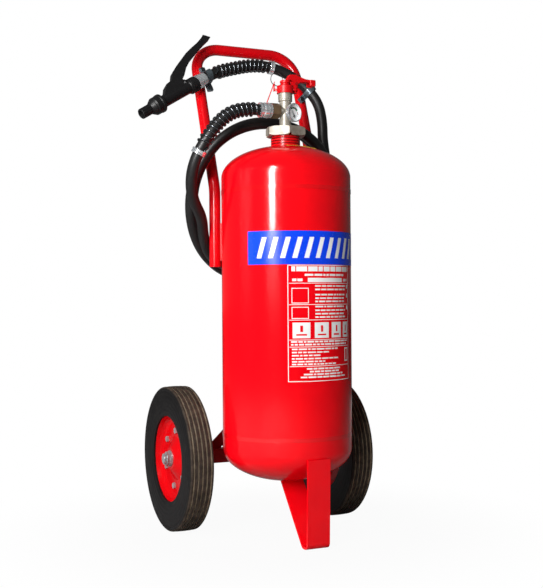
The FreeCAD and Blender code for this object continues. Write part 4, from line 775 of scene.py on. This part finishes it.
for x0, x1 in PICTURES:
    print_boxes.append(on_panel(x0, x1, 0.494, 0.628))
for i, y in enumerate((0.652, 0.676)):
    print_boxes += bars(0.04, 0.95, y, 0.013, 30 + i)
ragged_lines = ((0.716, 0.72), (0.743, 0.56), (0.770, 0.44), (0.797, 0.76), (0.822, 0.50), (0.845, 0.68))
for i, (y, right) in enumerate(ragged_lines):
    print_boxes += bars(0.05, right, y, 0.012, 40 + i)
print_boxes += hollow(0.88, 0.965, 0.72, 0.84, 0.012)
centred_lines = ((0.884, 0.24, 0.78), (0.908, 0.28, 0.74), (0.932, 0.20, 0.82), (0.956, 0.16, 0.88))
for i, (y, left, right) in enumerate(centred_lines):
    print_boxes += bars(left, right, y, 0.013, 50 + i)
strips("panel_print", print_boxes, FILM_R + INK_STEP, INK_STEP, white_ink)

pictures = []
for x0, x1 in PICTURES:
    wide = x1 - x0
    pictures += [on_panel(x0 + wide * 0.2, x1 - wide * 0.2, 0.592, 0.606),
                 on_panel(x0 + wide * 0.42, x1 - wide * 0.42, 0.520, 0.575)]
strips("panel_pictures", pictures, FILM_R + 2 * INK_STEP, INK_STEP, red_enamel)
print("panel strips", len(print_boxes))

# %% [markdown]
# The dial of the gauge carries a green arc for the right pressure, a short red one at each end and a
# ring of ticks. They are thin plates just off the dial's face, under the lens.

# %% Gauge dial
DIAL_FACE = 0.02805               # from the valve's axis, in metres
PRINT_LIFT = 0.00004
GREEN_ARC = (0.0094, 0.0134)      # inner and outer radius
RED_ARC = (0.0120, 0.0130)
TICK = (0.0138, 0.0160)

gauge_turn = math.radians(-72.0)
gauge_facing = Vector((math.cos(gauge_turn), math.sin(gauge_turn), 0.0))
gauge_right = Vector((-gauge_facing.y, gauge_facing.x, 0.0))
dial_middle = at(0, 0, 981) + gauge_facing * DIAL_FACE


def sector(from_angle, to_angle, inner, outer):
    """Corners and faces of a flat ring sector on the dial; angles go clockwise from the top."""
    count = max(1, math.ceil(abs(to_angle - from_angle) / 3))
    vertices = []
    for i in range(count + 1):
        turn = math.radians(from_angle + (to_angle - from_angle) * i / count)
        spoke = gauge_right * math.sin(turn) + Vector((0, 0, math.cos(turn)))
        face_middle = dial_middle + gauge_facing * PRINT_LIFT
        vertices += [face_middle + spoke * inner, face_middle + spoke * outer]
    faces = [(2 * i, 2 * i + 1, 2 * i + 3, 2 * i + 2) for i in range(count)]
    return vertices, faces


def dial_print(name, sectors, finish):
    """One mesh from several sectors of one colour."""
    vertices, faces = [], []
    for part_vertices, part_faces in sectors:
        faces += [tuple(i + len(vertices) for i in face) for face in part_faces]
        vertices += part_vertices
    made = keep(name, vertices, faces, smooth=False)
    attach(made, "extinguisher")
    return wear(made, finish)


dial_print("dial_green_arc", [sector(-50, 62, *GREEN_ARC)], dial_green)
dial_print("dial_red_arcs", [sector(-104, -62, *RED_ARC), sector(74, 104, *RED_ARC)], dial_red)
ticks = [sector(a - 1.2, a + 1.2, *TICK) for a in range(-120, 121, 20)]
dial_print("dial_ticks", ticks, dial_black)
print("dial ticks", len(ticks))

# %% [markdown]
# Beside the neck a small yellow sticker lies on the shoulder of the cylinder. It is a patch of the
# same pressed curve, half an ellipsoid above a straight flange, lifted a third of a millimetre.

# %% Sticker on the shoulder
SHOULDER_START = 831.0
SHOULDER_RISE = 75.0
STICKER_RIGHT, STICKER_WIDTH = 3.0, 68.0      # as the camera sees it, in millimetres
STICKER_NEAR, STICKER_DEPTH = 37.0, 15.0
STICKER_LIFT = 0.35


def on_shoulder(turn, reach, lift):
    """A place on the pressed top of the cylinder, lifted off it by so many millimetres."""
    rise = SHOULDER_RISE * math.sqrt(max(0.0, 1 - (reach / CYLINDER_R) ** 2))
    normal = Vector((reach / CYLINDER_R ** 2 * math.cos(turn), reach / CYLINDER_R ** 2 * math.sin(turn),
                     rise / SHOULDER_RISE ** 2)).normalized()
    return at(reach * math.cos(turn), reach * math.sin(turn), SHOULDER_START + rise) + normal * (lift / 1000)


SIGHT = math.atan2(camera_place.y + AXIS_BACK / 1000, camera_place.x)
sticker_vertices, sticker_faces = [], []
columns, rows = 24, 8
for i in range(columns + 1):
    for j in range(rows + 1):
        right = STICKER_RIGHT + STICKER_WIDTH * i / columns
        near = STICKER_NEAR + STICKER_DEPTH * j / rows
        turn = SIGHT + math.atan2(right, near)
        sticker_vertices.append(on_shoulder(turn, math.hypot(right, near), STICKER_LIFT))
for i in range(columns):
    for j in range(rows):
        a = i * (rows + 1) + j
        sticker_faces.append((a, a + rows + 1, a + rows + 2, a + 1))
sticker = keep("shoulder_sticker", sticker_vertices, sticker_faces)
solid = sticker.modifiers.new("thickness", "SOLIDIFY")
solid.thickness = 0.0003
solid.offset = -1.0
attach(sticker, "extinguisher")
wear(sticker, yellow_ink)

# %% [markdown]
# The stage is a pale floor and soft light. A tall narrow lamp left of the camera is seen only in
# reflections and draws the bright streak on the cylinder. A large lamp from the front left does most
# of the lighting, the right side stays darker, as in the photograph, and a weak lamp lights the back.
# The floor melts into the white surround far away.

# %% Floor
FLOOR_HALF = 40
FLOOR_HEIGHT = -0.0003
corners = [(x * FLOOR_HALF, y * FLOOR_HALF, FLOOR_HEIGHT) for x, y in ((-1, -1), (1, -1), (1, 1), (-1, 1))]
floor = keep("floor", corners, [(0, 1, 2, 3)])
paper = Finish("pale_paper", (0.35, 0.35, 0.35), 0.8, Specular_IOR_Level=0.1)
across, deep, _ = paper.split(paper.place())
distance = across.sum("SQRT", across * across + deep * deep)
glow = paper.node("ShaderNodeEmission", values={"Color": (1, 1, 1, 1), "Strength": 1.0})
seen_directly = paper.node("ShaderNodeLightPath", output="Is Camera Ray")
white_share = distance.ramp(0.25, 0.80, 0.95, 1.0) * seen_directly
far = paper.node("ShaderNodeMixShader", values={
    0: white_share, 1: Signal(paper, paper.shader.outputs[0]), 2: glow})
paper.tree.links.new(far.output, paper.tree.nodes["Material Output"].inputs["Surface"])
wear(floor, paper)

# %% Lights
def lamp(name, place, target, size, energy, only_reflections=False):
    """A flat lamp that is seen either only in reflections or never in them."""
    light = bpy.data.lights.new(name, "AREA")
    light.shape = "RECTANGLE"
    light.size, light.size_y = size
    light.energy = energy
    made = bpy.data.objects.new(name, light)
    made.location = place
    made.rotation_euler = (Vector(target) - Vector(place)).to_track_quat("-Z", "Y").to_euler()
    made.visible_glossy = only_reflections
    made.visible_diffuse = not only_reflections
    bpy.context.scene.collection.objects.link(made)


toward_camera = Vector((camera_place.x, camera_place.y + AXIS_BACK / 1000, 0)).normalized()


def round_object(degrees, distance, height):
    """A place so many degrees to the left of the camera, as seen from the cylinder."""
    turn = math.radians(-degrees)
    x = toward_camera.x * math.cos(turn) - toward_camera.y * math.sin(turn)
    y = toward_camera.x * math.sin(turn) + toward_camera.y * math.cos(turn)
    return Vector((x * distance, y * distance - AXIS_BACK / 1000, height))


MIDDLE = (0, -0.1, 0.6)
lamp("streak", round_object(23, 2.0, 1.55), (0, -0.1, 1.0), (0.34, 1.5), 105, only_reflections=True)
lamp("key", round_object(22, 3.0, 1.35), MIDDLE, (1.4, 1.6), 132)
lamp("side", round_object(74, 3.0, 1.5), MIDDLE, (1.2, 1.8), 70)
lamp("rear", round_object(186, 3.2, 1.5), MIDDLE, (1.6, 1.6), 60)

# %% Surround
SURROUND_SEEN, SURROUND_REFLECTED, SURROUND_LIGHT = 1.0, 0.12, 0.06
world = bpy.data.worlds.new("surround")
bpy.context.scene.world = world
world.use_nodes = True
tree = world.node_tree
path = tree.nodes.new("ShaderNodeLightPath")


def background(strength):
    """A white surround of this strength."""
    made = tree.nodes.new("ShaderNodeBackground")
    made.inputs["Color"].default_value = (1, 1, 1, 1)
    made.inputs["Strength"].default_value = strength
    return made.outputs[0]


def choose(ray, otherwise, chosen):
    """One surround for rays of this kind, and another for the rest."""
    pick = tree.nodes.new("ShaderNodeMixShader")
    tree.links.new(path.outputs[ray], pick.inputs[0])
    tree.links.new(otherwise, pick.inputs[1])
    tree.links.new(chosen, pick.inputs[2])
    return pick.outputs[0]


light = choose("Is Glossy Ray", background(SURROUND_LIGHT), background(SURROUND_REFLECTED))
shown = choose("Is Camera Ray", light, background(SURROUND_SEEN))
tree.links.new(shown, tree.nodes["World Output"].inputs["Surface"])
bpy.context.scene.view_settings.view_transform = "Standard"
print("stage ready")
